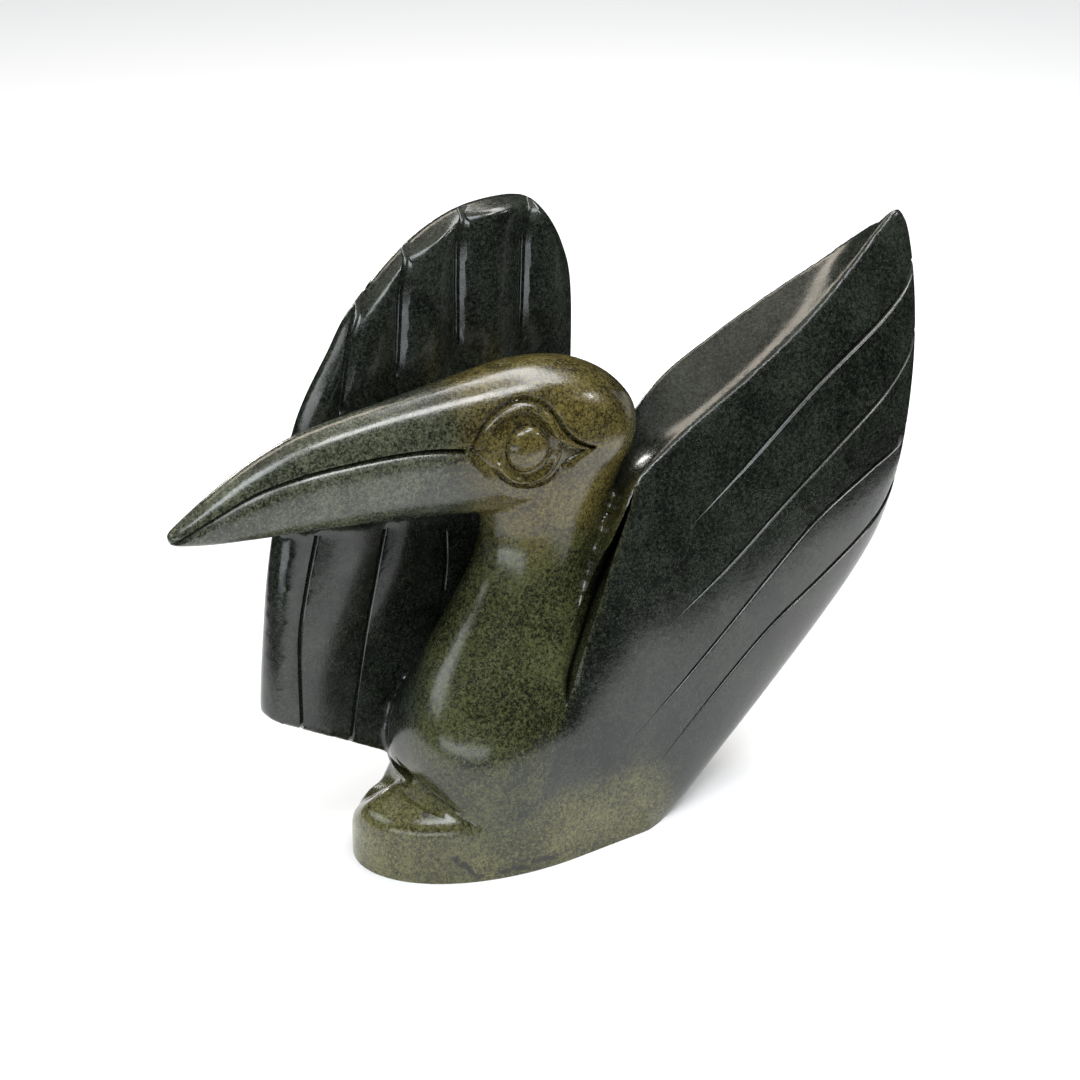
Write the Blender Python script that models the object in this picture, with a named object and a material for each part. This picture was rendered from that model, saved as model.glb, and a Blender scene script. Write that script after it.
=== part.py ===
"""Carved stone bird on its own base, one piece of stone, in metres with +Z up.

The bird looks along -X. Its left wing (the -Y side) sweeps back and up, its
right wing (the +Y side) is thrown forward beside the neck and the beak. The
origin is the middle of the flat underside.
"""
import math

import bmesh
import bpy
from mathutils import Vector
from mathutils.bvhtree import BVHTree

MM = 0.001

# Driving sizes, millimetres.
BASE_FRONT = -68.5
BASE_WIDEST = 10.0
BASE_REAR = 60.0
BASE_NEAR_WIDTH = 47.5
BASE_FAR_WIDTH = 40.0
BASE_HEIGHT = 30.0
BASE_DEEPER = 4.0
BASE_EDGE = ((0.0, 0.0), (0.5, 0.0), (0.7, 0.8), (0.84, 3.0), (0.94, 6.6), (1.0, 11.5))

FAR_WING_TOP = 263.0
FAR_WING_THICK_LOW = 17.0
FAR_WING_THICK_HIGH = 12.0
FAR_WING_TURN = 0.09
FAR_WING_LEAN = 0.07
FAR_WING_INNER_Y = 20.0
FAR_WING_INNER_AT = (-95.0, 150.0)

GROOVE_HALF = 1.1
GROOVE_DEPTH = 1.9
MOUTH_DEPTH = 2.4
EYE_DEPTH = 1.7

SKIN_CELL = 2.2
SKIN_FACES = 5600
RING_POINTS = 40

# Beak and head, from the beak's tip to the back of the skull:
# place along X, lower edge, upper edge, half width.
HEAD_ROWS = (
    (-147.0, 170.0, 175.0, 2.4),
    (-141.5, 168.4, 177.8, 4.8),
    (-128.0, 165.8, 185.4, 7.6),
    (-110.0, 163.4, 194.4, 9.8),
    (-90.0, 161.4, 200.8, 11.6),
    (-68.0, 158.6, 203.8, 13.4),
    (-40.0, 154.6, 206.4, 16.2),
    (-10.0, 150.0, 209.0, 20.8),
    (14.0, 147.0, 210.0, 24.4),
    (36.0, 148.0, 206.6, 25.2),
    (52.0, 153.0, 199.2, 21.8),
    (62.0, 162.0, 190.0, 14.8),
    (66.5, 170.0, 183.0, 7.0),
)

# Breast, neck and skull, from the foot upwards:
# height, front, rear, near half width, far half width.
NECK_ROWS = (
    (-6.0, -28.0, 60.0, 46.0, 36.0),
    (12.0, -34.0, 62.0, 47.5, 36.5),
    (28.0, -42.5, 64.0, 48.0, 34.0),
    (46.0, -48.0, 66.0, 47.5, 30.5),
    (64.0, -46.5, 62.0, 44.5, 27.0),
    (82.0, -37.0, 52.0, 37.0, 23.5),
    (100.0, -23.5, 46.0, 28.5, 21.5),
    (118.0, -10.5, 46.0, 22.5, 20.5),
    (136.0, -4.0, 52.0, 20.5, 20.0),
    (154.0, -4.0, 60.0, 21.5, 21.0),
    (172.0, 0.0, 66.0, 24.0, 24.0),
    (190.0, 10.0, 60.0, 20.0, 20.0),
)

# Body and left wing, from behind the breast to the tail:
# place along X, underside, ridge height, ridge side, crest height, crest side,
# near side bulge, far side bulge.
BODY_ROWS = (
    (-31.0, -5.0, 24.0, -32.0, 24.0, 8.0, 38.5, 30.0),
    (-20.0, -5.0, 36.0, -38.5, 34.0, 10.0, 43.5, 33.0),
    (-6.0, -5.0, 52.0, -43.0, 46.0, 10.0, 47.0, 36.0),
    (8.0, -5.0, 72.0, -41.5, 58.0, 9.0, 49.0, 38.0),
    (18.0, -5.0, 95.0, -38.5, 68.0, 8.0, 49.8, 38.0),
    (30.0, -5.0, 120.0, -35.0, 84.0, 7.0, 50.2, 38.0),
    (42.0, -5.0, 143.0, -31.5, 106.0, 6.0, 50.2, 36.5),
    (54.0, -4.5, 157.0, -27.0, 134.0, 5.0, 50.0, 33.0),
    (70.0, 5.0, 165.5, -24.5, 164.5, 5.0, 49.5, 28.0),
    (90.0, 21.0, 176.0, -24.0, 184.5, 5.5, 48.5, 22.5),
    (120.0, 44.0, 191.5, -24.0, 199.5, 5.0, 46.5, 17.5),
    (150.0, 67.5, 209.5, -23.0, 213.0, 3.0, 44.0, 14.0),
    (172.0, 86.0, 226.0, -21.5, 223.5, -1.0, 41.5, 10.5),
    (188.0, 103.0, 239.5, -20.0, 232.0, -4.0, 38.5, 7.0),
    (199.0, 126.0, 245.5, -18.5, 237.0, -8.0, 34.5, 3.0),
    (206.0, 152.0, 237.0, -18.0, 230.0, -11.0, 28.5, -3.0),
    (208.5, 170.0, 222.0, -17.5, 219.0, -14.0, 22.0, -9.0),
)

# Outline of the right wing in side view, from the low front corner over the
# top to the low rear: place along X, height.
FAR_WING_OUTLINE = (
    (-101.0, -3.5),
    (-100.5, 34.0),
    (-99.5, 68.0),
    (-96.0, 99.0),
    (-88.5, 141.0),
    (-73.0, 189.0),
    (-54.0, 217.0),
    (-42.0, 232.0),
    (-16.0, 251.5),
    (13.0, 262.5),
    (44.0, 262.5),
    (57.5, 253.5),
    (65.5, 239.0),
    (69.5, 222.0),
    (68.5, 190.0),
    (65.0, 150.0),
    (61.0, 100.0),
    (58.0, 50.0),
    (57.0, -3.5),
)
FAR_WING_CUT = ((-115.0, 81.5), (-20.0, 24.0))
FAR_WING_FOOT = -36.0
FAR_WING_CUT_FLOOR = 34.0

# Carved lines in side view, place along X and height from end to end.
LEFT_WING_GROOVES = (
    (
        (75.0, 133.0), (109.0, 155.5), (145.5, 180.0), (182.5, 202.0),
        (202.5, 217.0), (213.0, 229.0),
    ),
    (
        (55.5, 92.0), (90.0, 111.5), (123.0, 133.0), (154.0, 152.0),
        (184.0, 170.5), (201.0, 185.5), (213.0, 199.0),
    ),
    (
        (38.0, 49.5), (63.5, 66.0), (85.0, 81.5), (114.0, 103.0),
        (142.5, 122.5), (173.0, 136.0), (196.5, 144.0), (212.0, 162.0),
    ),
    (
        (53.5, 34.0), (83.0, 57.0), (114.0, 78.5), (144.0, 93.0),
        (175.0, 108.0), (190.0, 119.0), (206.0, 138.0),
    ),
)
RIGHT_WING_GROOVES = (
    ((-85.5, 55.0), (-85.0, 75.0), (-83.0, 104.0), (-78.0, 124.5), (-71.0, 146.0)),
    ((-55.5, 193.0), (-52.0, 208.0), (-47.5, 222.0), (-41.0, 232.0), (-34.0, 243.0)),
    ((-63.5, 42.0), (-60.0, 60.0), (-51.5, 93.5), (-44.0, 118.5), (-37.5, 139.0)),
    ((-26.5, 202.0), (-24.0, 221.0), (-21.5, 238.0), (-16.0, 251.0), (-11.0, 263.0)),
    ((-9.5, 103.0), (-7.2, 116.0), (-6.8, 129.0)),
    ((5.0, 205.5), (6.7, 235.0), (8.4, 251.0), (13.0, 262.0), (17.0, 273.0)),
    ((38.0, 200.0), (41.0, 232.0), (43.0, 249.0), (48.5, 260.0), (54.0, 271.0)),
)
OUTER_GROOVES = (
    ((-70.0, 66.0), (-66.0, 120.0), (-48.0, 185.0), (-30.0, 250.0)),
    ((-34.0, 66.0), (-30.0, 120.0), (-15.0, 190.0), (4.0, 272.0)),
    ((4.0, 76.0), (8.0, 130.0), (20.0, 200.0), (32.0, 274.0)),
)
MOUTH_LINE = (
    (-152.0, 167.0),
    (-143.0, 172.5),
    (-124.0, 181.0),
    (-95.0, 186.3),
    (-74.0, 187.5),
    (-53.0, 187.2),
    (-24.0, 185.6),
)
MOUTH_FAR_END = -46.0
EYEBALL = (2.3, 181.5, 10.4, 11.4)
LID_FRONT = (-22.0, 184.5)
LID_REAR = (33.5, 174.7)
LID_OVER = ((-12.0, 206.0), (16.0, 209.0))
LID_UNDER = ((18.0, 146.0), (-13.0, 157.0))

# Stone webs that hold the beak and the neck to the right wing: side view at
# the middle of the bird, then at the wing.
BEAK_WEB = (
    (
        (-91.0, 165.0), (-60.0, 160.0), (-28.0, 154.0), (6.0, 146.0),
        (24.0, 178.0), (-30.0, 177.0), (-88.0, 172.0),
    ),
    (
        (-91.0, 150.5), (-60.0, 145.0), (-26.0, 140.5), (6.0, 130.0),
        (24.0, 178.0), (-30.0, 177.0), (-88.0, 170.0),
    ),
)
NECK_WEB = (
    ((-4.0, 74.0), (8.0, 98.0), (11.0, 118.0), (14.0, 160.0), (44.0, 160.0), (36.0, 74.0)),
    ((-6.0, 74.0), (3.0, 98.0), (14.0, 118.0), (16.0, 160.0), (44.0, 160.0), (40.0, 74.0)),
)
# Saddle of stone under the right wing's lower edge, side view.
SADDLE = (
    ((-53.0, 4.0), (-52.0, 16.0), (-49.5, 25.0), (-45.5, 32.0), (-41.0, 40.0), (-31.0, 46.0), (0.0, 46.0), (0.0, 4.0)),
    ((-56.0, 4.0), (-54.8, 15.6), (-50.8, 19.4), (-43.9, 22.0), (-38.6, 31.3), (-29.0, 39.0), (0.0, 40.0), (0.0, 4.0)),
)
SADDLE_NEAR = -6.0
SADDLE_FAR = 24.0

# Slit between the neck and the left wing: neck lip, wing lip and root, each
# as place along X, side place and height, from the foot upwards.
SLIT_ROWS = (
    ((7.0, -41.5, 71.5), (8.4, -42.0, 71.5), (8.4, -40.6, 72.0)),
    ((6.8, -38.5, 82.0), (12.0, -41.0, 79.5), (15.0, -33.0, 79.0)),
    ((8.8, -34.0, 91.5), (17.5, -39.5, 91.0), (23.0, -28.0, 88.5)),
    ((15.0, -30.5, 100.0), (23.3, -38.3, 103.0), (32.0, -23.0, 99.0)),
    ((24.5, -26.5, 109.0), (29.3, -37.0, 114.5), (40.0, -19.0, 109.0)),
    ((35.0, -24.5, 120.0), (35.8, -35.0, 128.0), (49.0, -16.5, 121.0)),
    ((43.5, -24.0, 131.5), (42.2, -33.0, 139.0), (57.0, -15.0, 134.0)),
    ((50.0, -23.5, 143.0), (48.3, -30.0, 147.8), (63.0, -13.0, 146.0)),
    ((56.0, -22.5, 152.0), (53.6, -26.0, 154.5), (68.0, -12.0, 157.0)),
)
SLIT_CLEAR = 0.5

# Scooped notch between the base's front ledge and the breast: crease, ledge
# lip and the place above them, from the near end to the far end.
NOTCH_ROWS = (
    ((-31.5, -40.8, 25.6), (-32.2, -41.6, 25.8), (-32.6, -41.6, 26.8)),
    ((-36.0, -37.0, 28.6), (-39.5, -39.0, 26.8), (-41.5, -40.5, 35.0)),
    ((-40.0, -27.0, 32.0), (-47.0, -30.5, 28.6), (-49.0, -31.0, 46.0)),
    ((-43.0, -14.0, 35.0), (-53.5, -16.0, 30.4), (-52.5, -15.0, 54.0)),
    ((-44.5, -5.0, 37.0), (-56.0, -5.0, 31.8), (-53.0, -4.0, 54.0)),
    ((-46.0, 1.0, 40.5), (-53.0, 2.0, 37.0), (-51.5, 1.0, 50.0)),
    ((-48.0, 4.0, 44.0), (-50.0, 4.5, 43.5), (-49.5, 4.0, 47.0)),
)


def start_clean():
    for thing in list(bpy.data.objects):
        bpy.data.objects.remove(thing, do_unlink=True)


def smooth_rows(rows, steps):
    """Rows with smooth in-between rows, passing through every given row."""
    out = []
    last = len(rows) - 1
    for i in range(last):
        before = rows[max(i - 1, 0)]
        here = rows[i]
        there = rows[i + 1]
        after = rows[min(i + 2, last)]
        for k in range(steps):
            t = k / steps
            row = []
            for a, b, c, d in zip(before, here, there, after):
                value = 0.5 * (
                    2 * b
                    + (c - a) * t
                    + (2 * a - 5 * b + 4 * c - d) * t * t
                    + (3 * b - a - 3 * c + d) * t ** 3
                )
                row.append(value)
            out.append(tuple(row))
    out.append(tuple(rows[last]))
    return out


def oval(count, half_u, near_v, far_v, squareness=2.0):
    """Points of an oval about the origin with its own near and far halves."""
    points = []
    for k in range(count):
        angle = 2 * math.pi * k / count
        c = math.cos(angle)
        s = math.sin(angle)
        half_v = far_v if s > 0 else near_v
        u = half_u * math.copysign(abs(c) ** (2 / squareness), c)
        v = half_v * math.copysign(abs(s) ** (2 / squareness), s)
        points.append((u, v))
    return points


def bow(p0, p1, p2, p3, count):
    """Points along a cubic curve, its last point left out."""
    points = []
    for k in range(count):
        t = k / count
        w = ((1 - t) ** 3, 3 * t * (1 - t) ** 2, 3 * t * t * (1 - t), t ** 3)
        y = sum(f * p[0] for f, p in zip(w, (p0, p1, p2, p3)))
        z = sum(f * p[1] for f, p in zip(w, (p0, p1, p2, p3)))
        points.append((y, z))
    return points


def loft(name, rings, closed=False):
    """Body through rings of points in millimetres, capped or joined in a loop."""
    mesh = bmesh.new()
    loops = [[mesh.verts.new(Vector(p) * MM) for p in ring] for ring in rings]
    pairs = list(zip(loops, loops[1:]))
    if closed:
        pairs.append((loops[-1], loops[0]))
    for one, two in pairs:
        for k in range(len(one)):
            n = (k + 1) % len(one)
            mesh.faces.new((one[n], one[k], two[k], two[n]))
    if not closed:
        mesh.faces.new(loops[0])
        mesh.faces.new(list(reversed(loops[-1])))
    if mesh.calc_volume(signed=True) < 0:
        bmesh.ops.reverse_faces(mesh, faces=mesh.faces)
    data = bpy.data.meshes.new(name)
    mesh.to_mesh(data)
    mesh.free()
    thing = bpy.data.objects.new(name, data)
    bpy.context.scene.collection.objects.link(thing)
    return thing


def settle(thing):
    """Make the piece's modifiers part of its mesh."""
    graph = bpy.context.evaluated_depsgraph_get()
    data = bpy.data.meshes.new_from_object(thing.evaluated_get(graph))
    thing.modifiers.clear()
    thing.data = data
    return thing


def combine(thing, other, operation, solver="EXACT"):
    step = thing.modifiers.new(operation.lower(), "BOOLEAN")
    step.operation = operation
    step.solver = solver
    step.object = other
    settle(thing)
    bpy.data.objects.remove(other, do_unlink=True)
    return thing


def head_and_beak():
    rings = []
    for x, low, high, half in smooth_rows(HEAD_ROWS, 2):
        middle = (low + high) / 2
        shape = oval(RING_POINTS, (high - low) / 2, half, half, 2.15)
        rings.append([(x, v, middle + u) for u, v in shape])
    return loft("head", rings)


def breast_squareness(z):
    """Fullness of the breast's corners, more towards the base."""
    share = min(max((z - 34.0) / 50.0, 0.0), 1.0)
    return 3.1 + (2.05 - 3.1) * share


def breast_and_neck():
    rings = []
    for z, front, rear, near, far in smooth_rows(NECK_ROWS, 2):
        middle = (front + rear) / 2
        shape = oval(RING_POINTS, (rear - front) / 2, near, far, breast_squareness(z))
        rings.append([(middle + u, v, z) for u, v in shape])
    return loft("neck", rings)


def body_ring(row):
    x, under, ridge_z, ridge_y, crest_z, crest_y, near, far = row
    tall = ridge_z - under
    tuck = min(9.0, 0.3 * (near + far))
    foot_near = tuck - near
    foot_far = far - tuck
    near_side = bow(
        (foot_near, under),
        (-near - 0.2 * tuck, under),
        (-near - 0.3 * tuck, under + 0.62 * tall),
        (ridge_y, ridge_z),
        14,
    )
    span = crest_y - ridge_y
    top = bow(
        (ridge_y, ridge_z),
        (ridge_y + 0.3 * span, ridge_z - 0.08 * span),
        (crest_y - 0.35 * span, crest_z - 0.12 * span),
        (crest_y, crest_z),
        8,
    )
    far_side = bow(
        (crest_y, crest_z),
        (crest_y + 0.35 * (far - crest_y), crest_z - 4.0),
        (far + 0.2 * tuck, under + 0.55 * (crest_z - under)),
        (foot_far, under),
        14,
    )
    floor = []
    for k in range(6):
        t = k / 6
        floor.append((foot_far + (foot_near - foot_far) * t, under))
    return [(x, y, z) for y, z in near_side + top + far_side + floor]


def body_and_left_wing():
    return loft("body", [body_ring(row) for row in smooth_rows(BODY_ROWS, 2)])


def base_block():
    """Rounded block with a half round front, lower at its far front corner."""
    middle = BASE_WIDEST
    outline = []
    for k in range(25):
        angle = math.pi / 2 + math.pi * k / 24
        half = BASE_FAR_WIDTH if math.sin(angle) > 0 else BASE_NEAR_WIDTH
        x = middle + (middle - BASE_FRONT) * math.cos(angle)
        outline.append((x, half * math.sin(angle)))
    outline.append((BASE_REAR - 12.0, -BASE_NEAR_WIDTH))
    outline.append((BASE_REAR - 3.0, 3.0 - BASE_NEAR_WIDTH))
    outline.append((BASE_REAR, 12.0 - BASE_NEAR_WIDTH))
    outline.append((BASE_REAR, BASE_FAR_WIDTH - 12.0))
    outline.append((BASE_REAR - 3.0, BASE_FAR_WIDTH - 3.0))
    outline.append((BASE_REAR - 12.0, BASE_FAR_WIDTH))
    rings = []
    for height, inset in BASE_EDGE:
        ring = []
        for x, y in outline:
            fall = min(max((y - 2.0) / 34.0, 0.0), 1.0)
            top = BASE_HEIGHT - 15.0 * fall
            share = 1 - inset * (1 + 2.0 * fall) / BASE_NEAR_WIDTH
            z = -BASE_DEEPER + height * (top + BASE_DEEPER)
            ring.append((middle + (x - middle) * share, y * share, z))
        rings.append(ring)
    return loft("base", rings)


def far_wing_inner(x, z):
    """Side place of the right wing's inner face at a point in side view."""
    at_x, at_z = FAR_WING_INNER_AT
    return FAR_WING_INNER_Y + FAR_WING_TURN * (x - at_x) + FAR_WING_LEAN * (z - at_z)


def far_wing_thick(z):
    share = min(max((z - 50.0) / (FAR_WING_TOP - 50.0), 0.0), 1.0)
    return FAR_WING_THICK_LOW + (FAR_WING_THICK_HIGH - FAR_WING_THICK_LOW) * share


def inset_outline(points, amount):
    """Points of an open outline moved towards its inside."""
    out = []
    last = len(points) - 1
    for i, (x, z) in enumerate(points):
        ax, az = points[max(i - 1, 0)]
        bx, bz = points[min(i + 1, last)]
        length = math.hypot(bx - ax, bz - az)
        nx, nz = (bz - az) / length, -(bx - ax) / length
        out.append((x + nx * amount, z + nz * amount))
    return out


def right_wing():
    outline = smooth_rows(FAR_WING_OUTLINE, 3)
    rings = []
    for share, inset in ((0.0, 4.0), (0.12, 1.6), (0.34, 0.3), (0.6, 0.0), (0.88, 2.0), (1.0, 5.5)):
        ring = []
        for x, z in inset_outline(outline, inset):
            y = far_wing_inner(x, z) + share * far_wing_thick(z)
            ring.append((x, y, z))
        rings.append(ring)
    return loft("right_wing", rings)


def side_wedge(name, outline, near_y, far_y):
    """Straight sided cutter of a side view outline."""
    return loft(name, [[(x, y, z) for x, z in outline] for y in (near_y, far_y)])


def right_wing_lower_edge(floor):
    (x0, z0), (x1, z1) = FAR_WING_CUT
    slope = (z1 - z0) / (x1 - x0)
    outline = [(x0, z0), (x0 + (floor - z0) / slope, floor), (x0, floor)]
    if floor < z1:
        foot = (FAR_WING_FOOT, z0 + slope * (FAR_WING_FOOT - x0))
        outline = [(x0, z0), foot, (FAR_WING_FOOT + 8.0, floor), (x0, floor)]
    return side_wedge("edge", outline, -5.0, 70.0)


def web_block(name, outlines):
    """Web of stone from the middle of the bird to the right wing."""
    at_bird, at_wing = outlines
    near_ring = [(x, 2.0, z) for x, z in at_bird]
    far_ring = [(x, far_wing_inner(x, z) + 3.0, z) for x, z in at_wing]
    return loft(name, [near_ring, far_ring])


def saddle():
    at_bird, at_wing = SADDLE
    near_ring = [(x, SADDLE_NEAR, z) for x, z in at_bird]
    return loft("saddle", [near_ring, [(x, SADDLE_FAR, z) for x, z in at_wing]])


def masses():
    """The joined masses before any carving."""
    bird = body_and_left_wing()
    combine(bird, base_block(), "UNION")
    combine(bird, breast_and_neck(), "UNION")
    combine(bird, head_and_beak(), "UNION")
    wing = right_wing()
    combine(wing, right_wing_lower_edge(-20.0), "DIFFERENCE")
    combine(bird, wing, "UNION")
    combine(bird, web_block("beak_web", BEAK_WEB), "UNION")
    combine(bird, web_block("neck_web", NECK_WEB), "UNION")
    combine(bird, saddle(), "UNION")
    return bird


def skin(thing):
    """One skin over the joined masses, softened and thinned."""
    step = thing.modifiers.new("skin", "REMESH")
    step.mode = "VOXEL"
    step.voxel_size = SKIN_CELL * MM
    settle(thing)
    step = thing.modifiers.new("soften", "SMOOTH")
    step.factor = 0.5
    step.iterations = 5
    settle(thing)
    step = thing.modifiers.new("thin", "DECIMATE")
    step.ratio = SKIN_FACES / (2 * len(thing.data.polygons))
    return settle(thing)


def surface_finder(thing):
    """Function giving the side place where a level ray meets the piece."""
    mesh = bmesh.new()
    mesh.from_mesh(thing.data)
    tree = BVHTree.FromBMesh(mesh)
    mesh.free()

    def find(x, z, start, way):
        hit = tree.ray_cast(Vector((x, start, z)) * MM, Vector((0.0, way, 0.0)))
        return None if hit[0] is None else hit[0].y / MM

    return find


def groove_cutter(name, path, depths, half, side, closed=False):
    """V cutter along a path of points on the surface.

    The path gives place along X, side place and height. The side is the way
    out of the stone along Y, -1 or +1.
    """
    rings = []
    last = len(path) - 1
    for i, (x, y, z) in enumerate(path):
        before = path[i - 1] if closed or i else path[0]
        after = path[(i + 1) % len(path)] if closed else path[min(i + 1, last)]
        dx, dz = after[0] - before[0], after[2] - before[2]
        length = math.hypot(dx, dz)
        nx, nz = -dz / length, dx / length
        clear = 3.0
        depth = depths[i]
        reach = half * (depth + clear) / GROOVE_DEPTH
        rings.append([
            (x, y - side * depth, z),
            (x + nx * reach, y + side * clear, z + nz * reach),
            (x - nx * reach, y + side * clear, z - nz * reach),
        ])
    return loft(name, rings, closed)


def on_surface(find, line, steps, start, way, fall):
    """Path of surface points over a side view line, carried on past an edge."""
    path = []
    y = None
    for x, z in smooth_rows(line, steps):
        found = find(x, z, start, way)
        if found is None or (y is not None and abs(found - y) > 9.0):
            found = (0.0 if y is None else y) + way * fall
        y = found
        path.append((x, y, z))
    return path


def ease_in(count, deep, ends=0.25):
    """Depths that grow from nothing at the first point."""
    return [deep * min(0.12 + i / (ends * count), 1.0) for i in range(count)]


def carve_left_wing(bird, find):
    cutters = []
    for k, line in enumerate(LEFT_WING_GROOVES):
        path = on_surface(find, line, 4, -90.0, 1.0, 5.0)
        depths = ease_in(len(path), GROOVE_DEPTH)
        cutters.append(groove_cutter(f"left_{k}", path, depths, GROOVE_HALF, -1.0))
    return cutters


def carve_right_wing(bird, find):
    cutters = []
    for k, line in enumerate(RIGHT_WING_GROOVES):
        path = []
        slip = 0.0
        for x, z in smooth_rows(line, 3):
            plane = far_wing_inner(x, z)
            found = find(x, z, plane - 7.0, 1.0)
            if found is None or found > plane + far_wing_thick(z):
                slip += 4.0
                found = plane + slip
            else:
                slip = found - plane
            path.append((x, found, z))
        depths = [GROOVE_DEPTH] * len(path)
        cutters.append(groove_cutter(f"right_{k}", path, depths, GROOVE_HALF, -1.0))
    for k, line in enumerate(OUTER_GROOVES):
        path = on_surface(find, line, 3, 120.0, -1.0, 4.0)
        depths = ease_in(len(path), GROOVE_DEPTH)
        cutters.append(groove_cutter(f"outer_{k}", path, depths, GROOVE_HALF, 1.0))
    return cutters


def carve_mouth(bird, find):
    near = on_surface(find, MOUTH_LINE, 3, -60.0, 1.0, 0.0)
    depths = [MOUTH_DEPTH * min(1.0, 0.15 + 0.3 * k) for k in range(len(near))]
    depths = [min(d, MOUTH_DEPTH * (0.2 + 0.25 * (len(near) - 1 - k))) for k, d in enumerate(depths)]
    cutters = [groove_cutter("mouth_near", near, depths, GROOVE_HALF, -1.0)]
    line = [point for point in MOUTH_LINE if point[0] < MOUTH_FAR_END]
    far = []
    for x, z in smooth_rows(line, 3):
        found = find(x, z, far_wing_inner(x, z) - 1.0, -1.0)
        far.append((x, far[-1][1] if found is None and far else (found or 0.0), z))
    depths = [MOUTH_DEPTH * min(1.0, 0.15 + 0.3 * k) for k in range(len(far))]
    cutters.append(groove_cutter("mouth_far", far, depths, GROOVE_HALF, 1.0))
    return cutters


def carve_eye(bird, find):
    cx, cz, half_long, half_tall = EYEBALL
    ball = []
    for k in range(26):
        angle = 2 * math.pi * (k + 0.35) / 26
        x = cx + half_long * math.cos(angle)
        z = cz + half_tall * math.sin(angle)
        ball.append((x, find(x, z, -60.0, 1.0), z))
    lid = []
    for x, z in bow(LID_FRONT, *LID_OVER, LID_REAR, 16) + bow(LID_REAR, *LID_UNDER, LID_FRONT, 16):
        lid.append((x, find(x, z, -60.0, 1.0), z))
    return [
        groove_cutter("eyeball", ball, [EYE_DEPTH] * len(ball), GROOVE_HALF, -1.0, True),
        groove_cutter("lid", lid, [EYE_DEPTH] * len(lid), GROOVE_HALF, -1.0, True),
    ]


def row_groups(rows, steps):
    """Smoothed rows of three points each."""
    flat = [tuple(v for point in row for v in point) for row in rows]
    return [(row[0:3], row[3:6], row[6:9]) for row in smooth_rows(flat, steps)]


def past(root, lip, share):
    """Point beyond a lip on the line from the root."""
    return tuple(b + share * (b - a) for a, b in zip(root, lip))


def carve_slit(bird):
    rings = []
    for neck_lip, wing_lip, root in row_groups(SLIT_ROWS, 3):
        rings.append([past(root, neck_lip, SLIT_CLEAR), past(root, wing_lip, SLIT_CLEAR), root])
    return loft("slit", rings)


def carve_notch(bird):
    rings = []
    for crease, lip, over in row_groups(NOTCH_ROWS, 3):
        rings.append([crease, past(crease, lip, 0.5), past(crease, over, 0.2)])
    return loft("notch", rings)


def stone():
    """Dark olive polished stone."""
    material = bpy.data.materials.new("polished_serpentine")
    material.use_nodes = True
    shader = material.node_tree.nodes["Principled BSDF"]
    shader.inputs["Base Color"].default_value = (0.060, 0.062, 0.038, 1.0)
    shader.inputs["Roughness"].default_value = 0.28
    shader.inputs["Metallic"].default_value = 0.0
    return material


def build():
    start_clean()
    bird = skin(masses())
    below = ((-95.0, 0.0), (95.0, 0.0), (95.0, -20.0), (-95.0, -20.0))
    combine(bird, side_wedge("below", below, -80.0, 80.0), "DIFFERENCE")
    combine(bird, right_wing_lower_edge(FAR_WING_CUT_FLOOR), "DIFFERENCE")
    find = surface_finder(bird)
    cutters = [carve_slit(bird), carve_notch(bird)]
    cutters += carve_left_wing(bird, find) + carve_right_wing(bird, find)
    cutters += carve_mouth(bird, find)
    for cutter in cutters:
        combine(bird, cutter, "DIFFERENCE")
    for ring_cutter in carve_eye(bird, find):
        combine(bird, ring_cutter, "DIFFERENCE", "MANIFOLD")
    bird.name = "stone_bird"
    bird.data.name = "stone_bird"
    bird.data.materials.clear()
    bird.data.materials.append(stone())
    bird.data.shade_smooth()
    bird.data.set_sharp_from_angle(angle=math.radians(32.0))
    return bird


build()
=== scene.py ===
"""Carved serpentine bird on its own base, one piece of polished stone.

The bird looks along -X. Its left wing (the -Y side) sweeps back and up, its
right wing (the +Y side) is thrown forward beside the neck and the beak. All
tables of sizes are in millimetres, the scene is in metres with +Z up.
"""

from __future__ import annotations

import logging
import math
from dataclasses import dataclass, field
from enum import Enum
from typing import Callable, Optional, Sequence, Union

import bmesh
import bpy
import numpy as np
from mathutils import Matrix, Vector
from mathutils.bvhtree import BVHTree

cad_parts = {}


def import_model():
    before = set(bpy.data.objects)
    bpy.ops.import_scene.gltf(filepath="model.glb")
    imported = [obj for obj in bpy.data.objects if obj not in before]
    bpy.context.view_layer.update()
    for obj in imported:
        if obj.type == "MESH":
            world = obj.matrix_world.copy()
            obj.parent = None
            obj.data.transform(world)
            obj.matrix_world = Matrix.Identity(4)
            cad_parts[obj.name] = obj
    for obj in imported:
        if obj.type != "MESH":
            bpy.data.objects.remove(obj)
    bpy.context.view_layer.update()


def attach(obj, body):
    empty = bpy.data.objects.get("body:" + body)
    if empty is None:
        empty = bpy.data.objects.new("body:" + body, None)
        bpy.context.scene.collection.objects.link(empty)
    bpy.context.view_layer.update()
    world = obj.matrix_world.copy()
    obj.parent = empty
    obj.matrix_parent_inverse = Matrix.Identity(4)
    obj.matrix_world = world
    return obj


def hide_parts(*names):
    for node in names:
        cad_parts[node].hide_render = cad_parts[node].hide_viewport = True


MM = 0.001
NODE = "stone_bird"

Point2 = tuple[float, float]
Point3 = tuple[float, float, float]
Row = tuple[float, ...]
Colour = tuple[float, float, float]
Number = Union[float, np.ndarray]
Finder = Callable[[float, float, float, float], Optional[float]]

log = logging.getLogger("stone_bird")


class Side(Enum):
    """Which way a carved face looks along Y."""

    NEAR = -1.0
    FAR = 1.0


# Shaping tools.


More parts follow.
